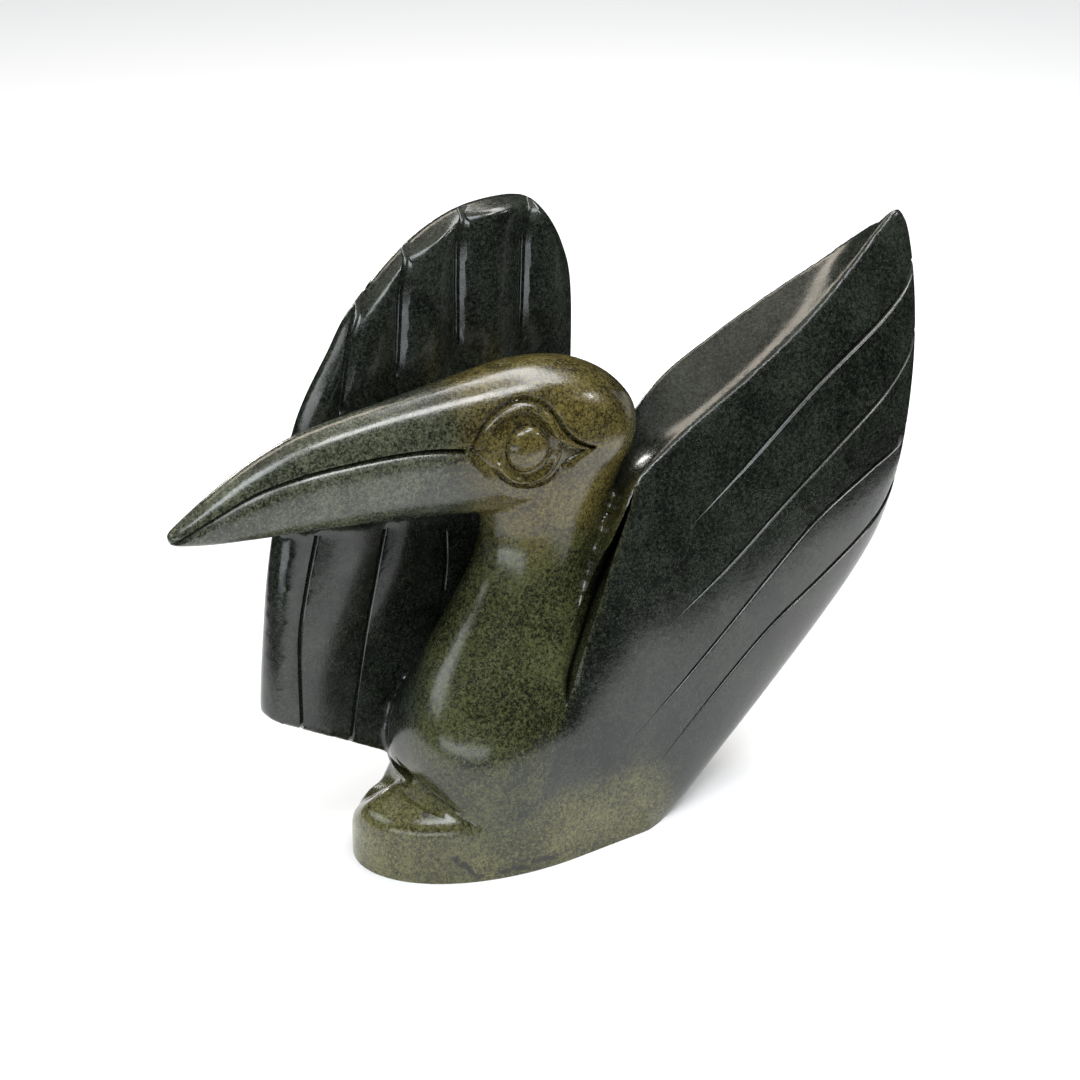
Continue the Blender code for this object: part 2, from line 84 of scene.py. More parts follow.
def smooth_rows(rows: Sequence[Row], steps: int) -> list[Row]:
    """Fill in rows smoothly, passing through every given row.

    Args:
        rows: Rows of sizes, all of one length.
        steps: Parts that each gap is divided into.

    Returns:
        The given rows with the new ones between them.
    """
    out: list[Row] = []
    last = len(rows) - 1
    for i in range(last):
        before = rows[max(i - 1, 0)]
        here = rows[i]
        there = rows[i + 1]
        after = rows[min(i + 2, last)]
        for k in range(steps):
            t = k / steps
            row = []
            for a, b, c, d in zip(before, here, there, after):
                value = 0.5 * (
                    2 * b
                    + (c - a) * t
                    + (2 * a - 5 * b + 4 * c - d) * t * t
                    + (3 * b - a - 3 * c + d) * t**3
                )
                row.append(value)
            out.append(tuple(row))
    out.append(tuple(rows[last]))
    return out


def oval(count: int, half_u: float, near_v: float, far_v: float, squareness: float) -> list[Point2]:
    """Make an oval about the origin with its own near and far halves.

    Args:
        count: Number of points.
        half_u: Half length along the first axis.
        near_v: Half width on the negative side of the second axis.
        far_v: Half width on the positive side of the second axis.
        squareness: 2 is a true oval, more is fuller at its corners.

    Returns:
        The points in order round the oval.
    """
    points = []
    for k in range(count):
        angle = 2 * math.pi * k / count
        c = math.cos(angle)
        s = math.sin(angle)
        half_v = far_v if s > 0 else near_v
        u = half_u * math.copysign(abs(c) ** (2 / squareness), c)
        v = half_v * math.copysign(abs(s) ** (2 / squareness), s)
        points.append((u, v))
    return points


def bow(p0: Point2, p1: Point2, p2: Point2, p3: Point2, count: int) -> list[Point2]:
    """Follow a cubic curve from its first to its last control point.

    Args:
        p0: Start.
        p1: First handle.
        p2: Second handle.
        p3: End.
        count: Number of points, the end left out.

    Returns:
        The points along the curve.
    """
    points = []
    for k in range(count):
        t = k / count
        w = ((1 - t) ** 3, 3 * t * (1 - t) ** 2, 3 * t * t * (1 - t), t**3)
        a = sum(f * p[0] for f, p in zip(w, (p0, p1, p2, p3)))
        b = sum(f * p[1] for f, p in zip(w, (p0, p1, p2, p3)))
        points.append((a, b))
    return points


def loft(name: str, rings: Sequence[Sequence[Point3]]) -> bpy.types.Object:
    """Skin a closed body over rings of points.

    Args:
        name: Name of the new object.
        rings: Rings of equal count, in millimetres.

    Returns:
        The new object, its faces looking outwards.
    """
    mesh = bmesh.new()
    loops = [[mesh.verts.new(Vector(p) * MM) for p in ring] for ring in rings]
    for one, two in zip(loops, loops[1:]):
        for k in range(len(one)):
            n = (k + 1) % len(one)
            mesh.faces.new((one[n], one[k], two[k], two[n]))
    mesh.faces.new(loops[0])
    mesh.faces.new(list(reversed(loops[-1])))
    if mesh.calc_volume(signed=True) < 0:
        bmesh.ops.reverse_faces(mesh, faces=mesh.faces)
    data = bpy.data.meshes.new(name)
    mesh.to_mesh(data)
    mesh.free()
    body = bpy.data.objects.new(name, data)
    bpy.context.scene.collection.objects.link(body)
    return body


def settle(body: bpy.types.Object) -> bpy.types.Object:
    """Make a body's modifiers part of its mesh.

    Args:
        body: The object with its modifiers.

    Returns:
        The same object without them.
    """
    graph = bpy.context.evaluated_depsgraph_get()
    data = bpy.data.meshes.new_from_object(body.evaluated_get(graph))
    body.modifiers.clear()
    body.data = data
    return body


def carve_away(body: bpy.types.Object, cutter: bpy.types.Object) -> bpy.types.Object:
    """Take a closed body out of another.

    Args:
        body: The body that stays.
        cutter: The body that is used up.

    Returns:
        The changed body.
    """
    step = body.modifiers.new("cut", "BOOLEAN")
    step.operation = "DIFFERENCE"
    step.solver = "MANIFOLD"
    step.object = cutter
    settle(body)
    bpy.data.objects.remove(cutter, do_unlink=True)
    return body


def fuse(name: str, bodies: Sequence[bpy.types.Object]) -> bpy.types.Object:
    """Put several closed bodies into one mesh.

    Args:
        name: Name of the new object.
        bodies: Bodies that are used up.

    Returns:
        One object that holds them all.
    """
    mesh = bmesh.new()
    for body in bodies:
        mesh.from_mesh(body.data)
        bpy.data.objects.remove(body, do_unlink=True)
    data = bpy.data.meshes.new(name)
    mesh.to_mesh(data)
    mesh.free()
    whole = bpy.data.objects.new(name, data)
    bpy.context.scene.collection.objects.link(whole)
    return whole


def side_wedge(name: str, outline: Sequence[Point2], near_y: float, far_y: float) -> bpy.types.Object:
    """Make a straight sided block from its outline in side view.

    Args:
        name: Name of the new object.
        outline: Places along X and heights.
        near_y: Where the block starts along Y.
        far_y: Where it ends.

    Returns:
        The block.
    """
    return loft(name, [[(x, y, z) for x, z in outline] for y in (near_y, far_y)])


def blend_step(value: np.ndarray, low: float, high: float) -> np.ndarray:
    """Rise smoothly from 0 at low to 1 at high.

    Args:
        value: Numbers to judge.
        low: Where the rise starts.
        high: Where it ends.

    Returns:
        Shares from 0 to 1.
    """
    t = np.clip((value - low) / (high - low), 0.0, 1.0)
    return t * t * (3.0 - 2.0 * t)


def read_points(body: bpy.types.Object) -> np.ndarray:
    """Read a mesh's corners.

    Args:
        body: The object.

    Returns:
        Their places in millimetres, one row each.
    """
    flat = np.zeros(len(body.data.vertices) * 3, np.float64)
    body.data.vertices.foreach_get("co", flat)
    return flat.reshape(-1, 3) / MM


def write_points(body: bpy.types.Object, points: np.ndarray) -> None:
    """Move a mesh's corners to new places.

    Args:
        body: The object.
        points: The places in millimetres, one row each.
    """
    body.data.vertices.foreach_set("co", (points * MM).astype(np.float32).ravel())
    body.data.update()


def read_normals(body: bpy.types.Object) -> np.ndarray:
    """Read the direction that each corner of a mesh faces.

    Args:
        body: The object.

    Returns:
        The directions, one row each.
    """
    flat = np.zeros(len(body.data.vertices) * 3, np.float32)
    body.data.vertex_normals.foreach_get("vector", flat)
    return flat.reshape(-1, 3).astype(np.float64)


def line_distance(points: np.ndarray, line: Sequence[Point2]) -> np.ndarray:
    """Measure the distance from points to a drawn line in side view.

    Args:
        points: Places along X and heights, one row each.
        line: Points of the line.

    Returns:
        The shortest distance for each point.
    """
    best = np.full(len(points), np.inf)
    for (ax, az), (bx, bz) in zip(line, line[1:]):
        along = np.array([bx - ax, bz - az])
        span = float(along @ along) or 1e-9
        offset = points - np.array([ax, az])
        t = np.clip(offset @ along / span, 0.0, 1.0)
        gap = offset - t[:, None] * along
        best = np.minimum(best, np.hypot(gap[:, 0], gap[:, 1]))
    return best


def inside_outline(points: np.ndarray, outline: Sequence[Point2]) -> np.ndarray:
    """Tell which points lie inside a closed outline in side view.

    Args:
        points: Places along X and heights, one row each.
        outline: Points of the outline.

    Returns:
        True for each point inside.
    """
    inside = np.zeros(len(points), bool)
    x = points[:, 0]
    z = points[:, 1]
    for (ax, az), (bx, bz) in zip(outline, list(outline[1:]) + [outline[0]]):
        if az == bz:
            continue
        crosses = (az > z) != (bz > z)
        inside ^= crosses & (x < (bx - ax) * (z - az) / (bz - az) + ax)
    return inside


def surface_finder(body: bpy.types.Object) -> Finder:
    """Make a function that gives the side place where a level ray meets a body.

    Args:
        body: The body to look at.

    Returns:
        A function of place along X, height, starting side place and way.
    """
    mesh = bmesh.new()
    mesh.from_mesh(body.data)
    tree = BVHTree.FromBMesh(mesh)
    mesh.free()

    def find(x: float, z: float, start: float, way: float) -> Optional[float]:
        """Side place of the first hit, or None."""
        hit = tree.ray_cast(Vector((x, start, z)) * MM, Vector((0.0, way, 0.0)))
        return None if hit[0] is None else hit[0].y / MM

    return find


# The masses of the bird.


@dataclass
class HeadAndBeak:
    """Skull and long beak, drawn as ovals from the beak's tip to the skull's back.

    Each row holds the place along X, lower edge, upper edge and half width.
    """

    rows: tuple[Row, ...] = (
        (-147.0, 170.0, 175.0, 2.4),
        (-141.5, 168.4, 177.8, 4.8),
        (-128.0, 165.8, 185.4, 7.6),
        (-110.0, 163.4, 194.4, 9.8),
        (-90.0, 161.4, 200.8, 11.6),
        (-68.0, 158.6, 203.8, 13.4),
        (-40.0, 154.6, 206.4, 16.2),
        (-10.0, 150.0, 209.0, 20.8),
        (14.0, 147.0, 210.0, 24.4),
        (36.0, 148.0, 206.6, 25.2),
        (52.0, 153.0, 199.2, 21.8),
        (62.0, 162.0, 190.0, 14.8),
        (66.5, 170.0, 183.0, 7.0),
    )
    squareness: float = 2.15
    ring_points: int = 96
    steps: int = 6

    def build(self) -> bpy.types.Object:
        """Loft the head and beak.

        Returns:
            The closed mass.
        """
        rings = []
        for x, low, high, half in smooth_rows(self.rows, self.steps):
            middle = (low + high) / 2
            shape = oval(self.ring_points, (high - low) / 2, half, half, self.squareness)
            rings.append([(x, v, middle + u) for u, v in shape])
        return loft("head", rings)


@dataclass
class BreastAndNeck:
    """Breast, neck and the stone inside the skull, from the foot upwards.

    Each row holds the height, front, rear, near half width and far half width.
    """

    rows: tuple[Row, ...] = (
        (-6.0, -28.0, 60.0, 46.0, 36.0),
        (12.0, -34.0, 62.0, 47.5, 36.5),
        (28.0, -42.5, 64.0, 48.0, 34.0),
        (46.0, -48.0, 66.0, 47.5, 30.5),
        (64.0, -46.5, 62.0, 44.5, 27.0),
        (82.0, -37.0, 52.0, 37.0, 23.5),
        (100.0, -23.5, 46.0, 28.5, 21.5),
        (118.0, -10.5, 46.0, 22.5, 20.5),
        (136.0, -4.0, 52.0, 20.5, 20.0),
        (154.0, -4.0, 60.0, 21.5, 21.0),
        (172.0, 0.0, 66.0, 24.0, 24.0),
        (190.0, 10.0, 60.0, 20.0, 20.0),
    )
    square_low: float = 3.1
    square_high: float = 2.05
    square_from: float = 34.0
    square_to: float = 84.0
    ring_points: int = 96
    steps: int = 6

    def squareness(self, z: float) -> float:
        """Fullness of the oval's corners at a height."""
        share = min(max((z - self.square_from) / (self.square_to - self.square_from), 0.0), 1.0)
        return self.square_low + (self.square_high - self.square_low) * share

    def build(self) -> bpy.types.Object:
        """Loft the breast and neck.

        Returns:
            The closed mass.
        """
        rings = []
        for z, front, rear, near, far in smooth_rows(self.rows, self.steps):
            middle = (front + rear) / 2
            shape = oval(self.ring_points, (rear - front) / 2, near, far, self.squareness(z))
            rings.append([(middle + u, v, z) for u, v in shape])
        return loft("neck", rings)


@dataclass
class BodyAndLeftWing:
    """Body and left wing, from behind the breast to the wing's tip.

    Each row holds the place along X, underside, ridge height, ridge side,
    crest height, crest side, near side bulge and far side bulge. The top
    between ridge and crest is scooped out.
    """

    rows: tuple[Row, ...] = (
        (-31.0, -5.0, 24.0, -32.0, 24.0, 8.0, 38.5, 30.0),
        (-20.0, -5.0, 36.0, -38.5, 34.0, 10.0, 43.5, 33.0),
        (-6.0, -5.0, 52.0, -43.0, 46.0, 10.0, 47.0, 36.0),
        (8.0, -5.0, 72.0, -41.5, 58.0, 9.0, 49.0, 38.0),
        (18.0, -5.0, 95.0, -38.5, 68.0, 8.0, 49.8, 38.0),
        (30.0, -5.0, 120.0, -35.0, 84.0, 7.0, 50.2, 38.0),
        (42.0, -5.0, 143.0, -31.5, 106.0, 6.0, 50.2, 36.5),
        (54.0, -4.5, 157.0, -27.0, 134.0, 5.0, 50.0, 33.0),
        (70.0, 5.0, 165.5, -24.5, 164.5, 5.0, 49.5, 28.0),
        (90.0, 21.0, 176.0, -24.0, 184.5, 5.5, 48.5, 22.5),
        (120.0, 44.0, 191.5, -24.0, 199.5, 5.0, 46.5, 17.5),
        (150.0, 67.5, 209.5, -23.0, 213.0, 3.0, 44.0, 14.0),
        (172.0, 86.0, 226.0, -21.5, 223.5, -1.0, 41.5, 10.5),
        (188.0, 103.0, 239.5, -20.0, 232.0, -4.0, 38.5, 7.0),
        (199.0, 126.0, 245.5, -18.5, 237.0, -8.0, 34.5, 3.0),
        (206.0, 152.0, 237.0, -18.0, 230.0, -11.0, 28.5, -3.0),
        (208.5, 170.0, 222.0, -17.5, 219.0, -14.0, 22.0, -9.0),
    )
    steps: int = 6
    tuck: float = 9.0
    side_points: int = 30
    top_points: int = 18
    floor_points: int = 8

    def ring(self, row: Row) -> list[Point3]:
        """Draw one cross section.

        Args:
            row: The sizes at one place along X.

        Returns:
            The points of the section in order.
        """
        x, under, ridge_z, ridge_y, crest_z, crest_y, near, far = row
        tall = ridge_z - under
        tuck = min(self.tuck, 0.3 * (near + far))
        foot_near = tuck - near
        foot_far = far - tuck
        near_side = bow(
            (foot_near, under),
            (-near - 0.2 * tuck, under),
            (-near - 0.3 * tuck, under + 0.62 * tall),
            (ridge_y, ridge_z),
            self.side_points,
        )
        span = crest_y - ridge_y
        top = bow(
            (ridge_y, ridge_z),
            (ridge_y + 0.3 * span, ridge_z - 0.08 * span),
            (crest_y - 0.35 * span, crest_z - 0.12 * span),
            (crest_y, crest_z),
            self.top_points,
        )
        far_side = bow(
            (crest_y, crest_z),
            (crest_y + 0.35 * (far - crest_y), crest_z - 4.0),
            (far + 0.2 * tuck, under + 0.55 * (crest_z - under)),
            (foot_far, under),
            self.side_points,
        )
        floor = []
        for k in range(self.floor_points):
            t = k / self.floor_points
            floor.append((foot_far + (foot_near - foot_far) * t, under))
        return [(x, y, z) for y, z in near_side + top + far_side + floor]

    def build(self) -> bpy.types.Object:
        """Loft the body and left wing."""
        return loft("body", [self.ring(row) for row in smooth_rows(self.rows, self.steps)])


@dataclass
class StoneBase:
    """Rounded block with a half round front, lower at its far front corner."""

    front: float = -68.5
    widest: float = 10.0
    rear: float = 60.0
    near_width: float = 47.5
    far_width: float = 44.0
    height: float = 34.0
    deeper: float = 4.0
    far_drop: float = 21.0
    far_rounding: float = 0.6
    drop_from: float = 2.0
    drop_over: float = 34.0
    corner: float = 12.0
    corner_bevel: float = 3.0
    edge_steps: tuple[Point2, ...] = (
        (0.0, 0.0), (0.5, 0.0), (0.68, 0.4), (0.8, 2.0), (0.88, 5.0), (0.95, 8.0), (1.0, 12.0),
    )

    def outline(self) -> list[Point2]:
        """Draw the base seen from above.

        Returns:
            Places along X and Y, from the far side round the front to the rear.
        """
        points = []
        for k in range(49):
            angle = math.pi / 2 + math.pi * k / 48
            half = self.far_width if math.sin(angle) > 0 else self.near_width
            x = self.widest + (self.widest - self.front) * math.cos(angle)
            points.append((x, half * math.sin(angle)))
        points.append((self.rear - self.corner, -self.near_width))
        points.append((self.rear - self.corner_bevel, self.corner_bevel - self.near_width))
        points.append((self.rear, self.corner - self.near_width))
        points.append((self.rear, self.far_width - self.corner))
        points.append((self.rear - self.corner_bevel, self.far_width - self.corner_bevel))
        points.append((self.rear - self.corner, self.far_width))
        return points

    def build(self) -> bpy.types.Object:
        """Loft the base from its underside to its worn top edge.

        Returns:
            The closed mass.
        """
        outline = self.outline()
        rings = []
        for height, inset in smooth_rows(self.edge_steps, 3):
            ring = []
            for x, y in outline:
                fall = min(max((y - self.drop_from) / self.drop_over, 0.0), 1.0)
                top = self.height - self.far_drop * fall
                share = 1 - inset * (1 + self.far_rounding * fall) / self.near_width
                z = -self.deeper + height * (top + self.deeper)
                ring.append((self.widest + (x - self.widest) * share, y * share, z))
            rings.append(ring)
        return loft("base", rings)


@dataclass
class RightWing:
    """Upright wing thrown forward, a slab with rounded edges.

    The outline is drawn in side view from the low front corner over the top
    to the low rear. Its inner face turns with the length and leans with the
    height.
    """

    outline: tuple[Point2, ...] = (
        (-101.0, -3.5),
        (-100.5, 34.0),
        (-99.5, 68.0),
        (-96.0, 99.0),
        (-88.5, 141.0),
        (-73.0, 189.0),
        (-54.0, 217.0),
        (-42.0, 232.0),
        (-16.0, 251.5),
        (13.0, 262.5),
        (44.0, 262.5),
        (57.5, 253.5),
        (65.5, 239.0),
        (69.5, 222.0),
        (68.5, 190.0),
        (65.0, 150.0),
        (61.0, 100.0),
        (58.0, 50.0),
        (57.0, -3.5),
    )
    top: float = 263.0
    thick_low: float = 17.0
    thick_high: float = 12.0
    thins_from: float = 50.0
    turn: float = 0.09
    lean: float = 0.07
    inner_y: float = 20.0
    inner_at: Point2 = (-95.0, 150.0)
    foot_flare: float = 8.0
    cut_near: float = -5.0
    cut_far: float = 70.0
    cut_deep: float = -20.0
    edge_steps: tuple[Point2, ...] = (
        (0.0, 4.0),
        (0.12, 1.6),
        (0.34, 0.3),
        (0.6, 0.0),
        (0.88, 2.0),
        (1.0, 5.5),
    )
    lower_edge: tuple[Point2, Point2] = ((-115.0, 81.5), (-20.0, 24.0))
    foot: float = -36.0
    cut_floor: float = 34.0

    def inner(self, x: Number, z: Number) -> Number:
        """Side place of the inner face at a point, or at many, in side view."""
        return self.inner_y + self.turn * (x - self.inner_at[0]) + self.lean * (z - self.inner_at[1])

    def thick(self, z: float) -> float:
        """Thickness of the slab at a height."""
        share = min(max((z - self.thins_from) / (self.top - self.thins_from), 0.0), 1.0)
        return self.thick_low + (self.thick_high - self.thick_low) * share

    @staticmethod
    def inset(points: Sequence[Point2], amount: float) -> list[Point2]:
        """Move an open outline towards its inside.

        Args:
            points: The outline.
            amount: How far it moves.

        Returns:
            The moved outline.
        """
        out = []
        last = len(points) - 1
        for i, (x, z) in enumerate(points):
            ax, az = points[max(i - 1, 0)]
            bx, bz = points[min(i + 1, last)]
            length = math.hypot(bx - ax, bz - az)
            out.append((x + (bz - az) / length * amount, z - (bx - ax) / length * amount))
        return out

    def edge_cutter(self, floor: float) -> bpy.types.Object:
        """Make the block that leaves the slanting lower edge.

        Args:
            floor: Height down to which it cuts.

        Returns:
            The cutter.
        """
        (x0, z0), (x1, z1) = self.lower_edge
        slope = (z1 - z0) / (x1 - x0)
        outline = [(x0, z0), (x0 + (floor - z0) / slope, floor), (x0, floor)]
        if floor < z1:
            foot = (self.foot, z0 + slope * (self.foot - x0))
            outline = [(x0, z0), foot, (self.foot + self.foot_flare, floor), (x0, floor)]
        return side_wedge("edge", outline, self.cut_near, self.cut_far)

    def build(self) -> bpy.types.Object:
        """Loft the slab and cut its lower edge.

        Returns:
            The closed mass.
        """
        outline = smooth_rows(self.outline, 8)
        rings = []
        for share, inset in smooth_rows(self.edge_steps, 3):
            ring = []
            for x, z in self.inset(outline, inset):
                ring.append((x, self.inner(x, z) + share * self.thick(z), z))
            rings.append(ring)
        return carve_away(loft("right_wing", rings), self.edge_cutter(self.cut_deep))


@dataclass
class StoneWebs:
    """Stone left standing between the bird and its right wing.

    Each web is drawn in side view at the middle of the bird, then at the wing.
    """

    beak: tuple[tuple[Point2, ...], tuple[Point2, ...]] = (
        (
            (-91.0, 165.0), (-60.0, 160.0), (-28.0, 154.0), (6.0, 146.0),
            (24.0, 178.0), (-30.0, 177.0), (-88.0, 172.0),
        ),
        (
            (-91.0, 150.5), (-60.0, 145.0), (-26.0, 140.5), (6.0, 130.0),
            (24.0, 178.0), (-30.0, 177.0), (-88.0, 170.0),
        ),
    )
    neck: tuple[tuple[Point2, ...], tuple[Point2, ...]] = (
        ((-4.0, 74.0), (8.0, 98.0), (11.0, 118.0), (14.0, 160.0), (44.0, 160.0), (36.0, 74.0)),
        ((-6.0, 74.0), (3.0, 98.0), (14.0, 118.0), (16.0, 160.0), (44.0, 160.0), (40.0, 74.0)),
    )
    saddle: tuple[tuple[Point2, ...], tuple[Point2, ...]] = (
        (
            (-53.0, 4.0), (-52.0, 16.0), (-49.5, 25.0), (-45.5, 32.0),
            (-41.0, 40.0), (-31.0, 46.0), (0.0, 46.0), (0.0, 4.0),
        ),
        (
            (-56.0, 4.0), (-54.8, 15.6), (-50.8, 19.4), (-43.9, 22.0),
            (-38.6, 31.3), (-29.0, 39.0), (0.0, 40.0), (0.0, 4.0),
        ),
    )
    middle: float = 2.0
    saddle_near: float = -6.0
    saddle_far: float = 24.0
    into_wing: float = 3.0

    def build(self, wing: RightWing) -> list[bpy.types.Object]:
        """Make the three webs.

        Args:
            wing: The right wing that they reach.

        Returns:
            The beak web, the neck web and the saddle.
        """
        webs = []
        for name, (at_bird, at_wing) in (("beak_web", self.beak), ("neck_web", self.neck)):
            near_ring = [(x, self.middle, z) for x, z in at_bird]
            far_ring = [(x, wing.inner(x, z) + self.into_wing, z) for x, z in at_wing]
            webs.append(loft(name, [near_ring, far_ring]))
        at_bird, at_wing = self.saddle
        near_ring = [(x, self.saddle_near, z) for x, z in at_bird]
        webs.append(loft("saddle", [near_ring, [(x, self.saddle_far, z) for x, z in at_wing]]))
        return webs


@dataclass
class StoneSkin:
    """One even skin over the joined masses, softened as by rubbing down."""

    cell: float = 1.2
    soften_passes: int = 18
    keep_share: float = 0.38

    def cast(self, bodies: Sequence[bpy.types.Object]) -> bpy.types.Object:
        """Fuse the masses into one skin.

        Args:
            bodies: The masses, which are used up.

        Returns:
            The fused body.
        """
        body = fuse("stone", bodies)
        step = body.modifiers.new("skin", "REMESH")
        step.mode = "VOXEL"
        step.voxel_size = self.cell * MM
        settle(body)
        step = body.modifiers.new("soften", "SMOOTH")
        step.factor = 0.5
        step.iterations = self.soften_passes
        return settle(body)

    def thin(self, body: bpy.types.Object) -> bpy.types.Object:
        """Use fewer faces where the stone is flat.

        Args:
            body: The fused body.

        Returns:
            The same body with fewer faces.
        """
        step = body.modifiers.new("thin", "DECIMATE")
        step.ratio = self.keep_share
        return settle(body)


# Carving.


@dataclass
class WingFlutes:
    """Full, pillowed feathers on the inner face of the right wing.

    Each line runs between two feathers, in side view from low to high.
    """

    wing: RightWing
    lines: tuple[tuple[Point2, ...], ...] = (
        (
            (-101.0, 55.0), (-99.5, 80.0), (-96.0, 99.0), (-88.5, 141.0),
            (-73.0, 189.0), (-54.0, 217.0), (-42.0, 232.0), (-16.0, 251.5),
        ),
        (
            (-85.5, 55.0), (-85.0, 75.0), (-83.0, 104.0), (-78.0, 124.5), (-71.0, 146.0),
            (-62.5, 171.0), (-55.5, 193.0), (-52.0, 208.0), (-47.5, 222.0), (-41.0, 232.0), (-34.0, 243.0),
        ),
        (
            (-63.5, 42.0), (-60.0, 60.0), (-51.5, 93.5), (-44.0, 118.5), (-37.5, 139.0),
            (-31.5, 172.0), (-26.5, 202.0), (-24.0, 221.0), (-21.5, 238.0), (-16.0, 251.0), (-11.0, 263.0),
        ),
        (
            (-14.0, 60.0), (-9.5, 103.0), (-7.2, 116.0), (-6.8, 129.0), (0.0, 170.0),
            (5.0, 205.5), (6.7, 235.0), (8.4, 251.0), (13.0, 262.0), (17.0, 273.0),
        ),
        (
            (28.0, 100.0), (34.0, 160.0), (38.0, 200.0), (41.0, 232.0),
            (43.0, 249.0), (48.5, 260.0), (54.0, 271.0),
        ),
        (
            (61.0, 100.0), (65.0, 150.0), (68.5, 190.0), (69.5, 222.0),
            (67.0, 239.0), (60.0, 253.5), (56.0, 263.0),
        ),
    )
    fullness: float = 4.4
    crown: float = 0.42
    starts: float = 140.0
    full_at: float = 215.0

    def shape(self, body: bpy.types.Object) -> None:
        """Swell each feather between its lines.

        Args:
            body: The fused stone.
        """
        points = read_points(body)
        normals = read_normals(body)
        x = points[:, 0]
        z = points[:, 2]
        off = np.abs(points[:, 1] - self.wing.inner(x, z))
        face = blend_step(-normals[:, 1], 0.35, 0.85) * (1.0 - blend_step(off, 4.0, 7.5))
        rise = 0.25 * blend_step(z, 60.0, 120.0) + 0.75 * blend_step(z, self.starts, self.full_at)
        places = []
        for line in self.lines:
            dense = np.array(smooth_rows(line, 6))
            order = np.argsort(dense[:, 1])
            places.append(np.interp(z, dense[order, 1], dense[order, 0]))
        swell = np.zeros(len(x))
        for left, right in zip(places, places[1:]):
            width = np.maximum(right - left, 1e-3)
            u = (x - left) / width
            inside = (u > 0.0) & (u < 1.0)
            u = np.clip(u, 0.0, 1.0)
            rise_part = np.sin(0.5 * np.pi * np.minimum(u / self.crown, 1.0))
            fall_part = np.cos(0.5 * np.pi * np.maximum((u - self.crown) / (1.0 - self.crown), 0.0))
            swell = np.where(inside, rise_part * fall_part * np.minimum(width / 28.0, 1.25), swell)
        points[:, 1] -= self.fullness * swell * rise * face
        write_points(body, points)


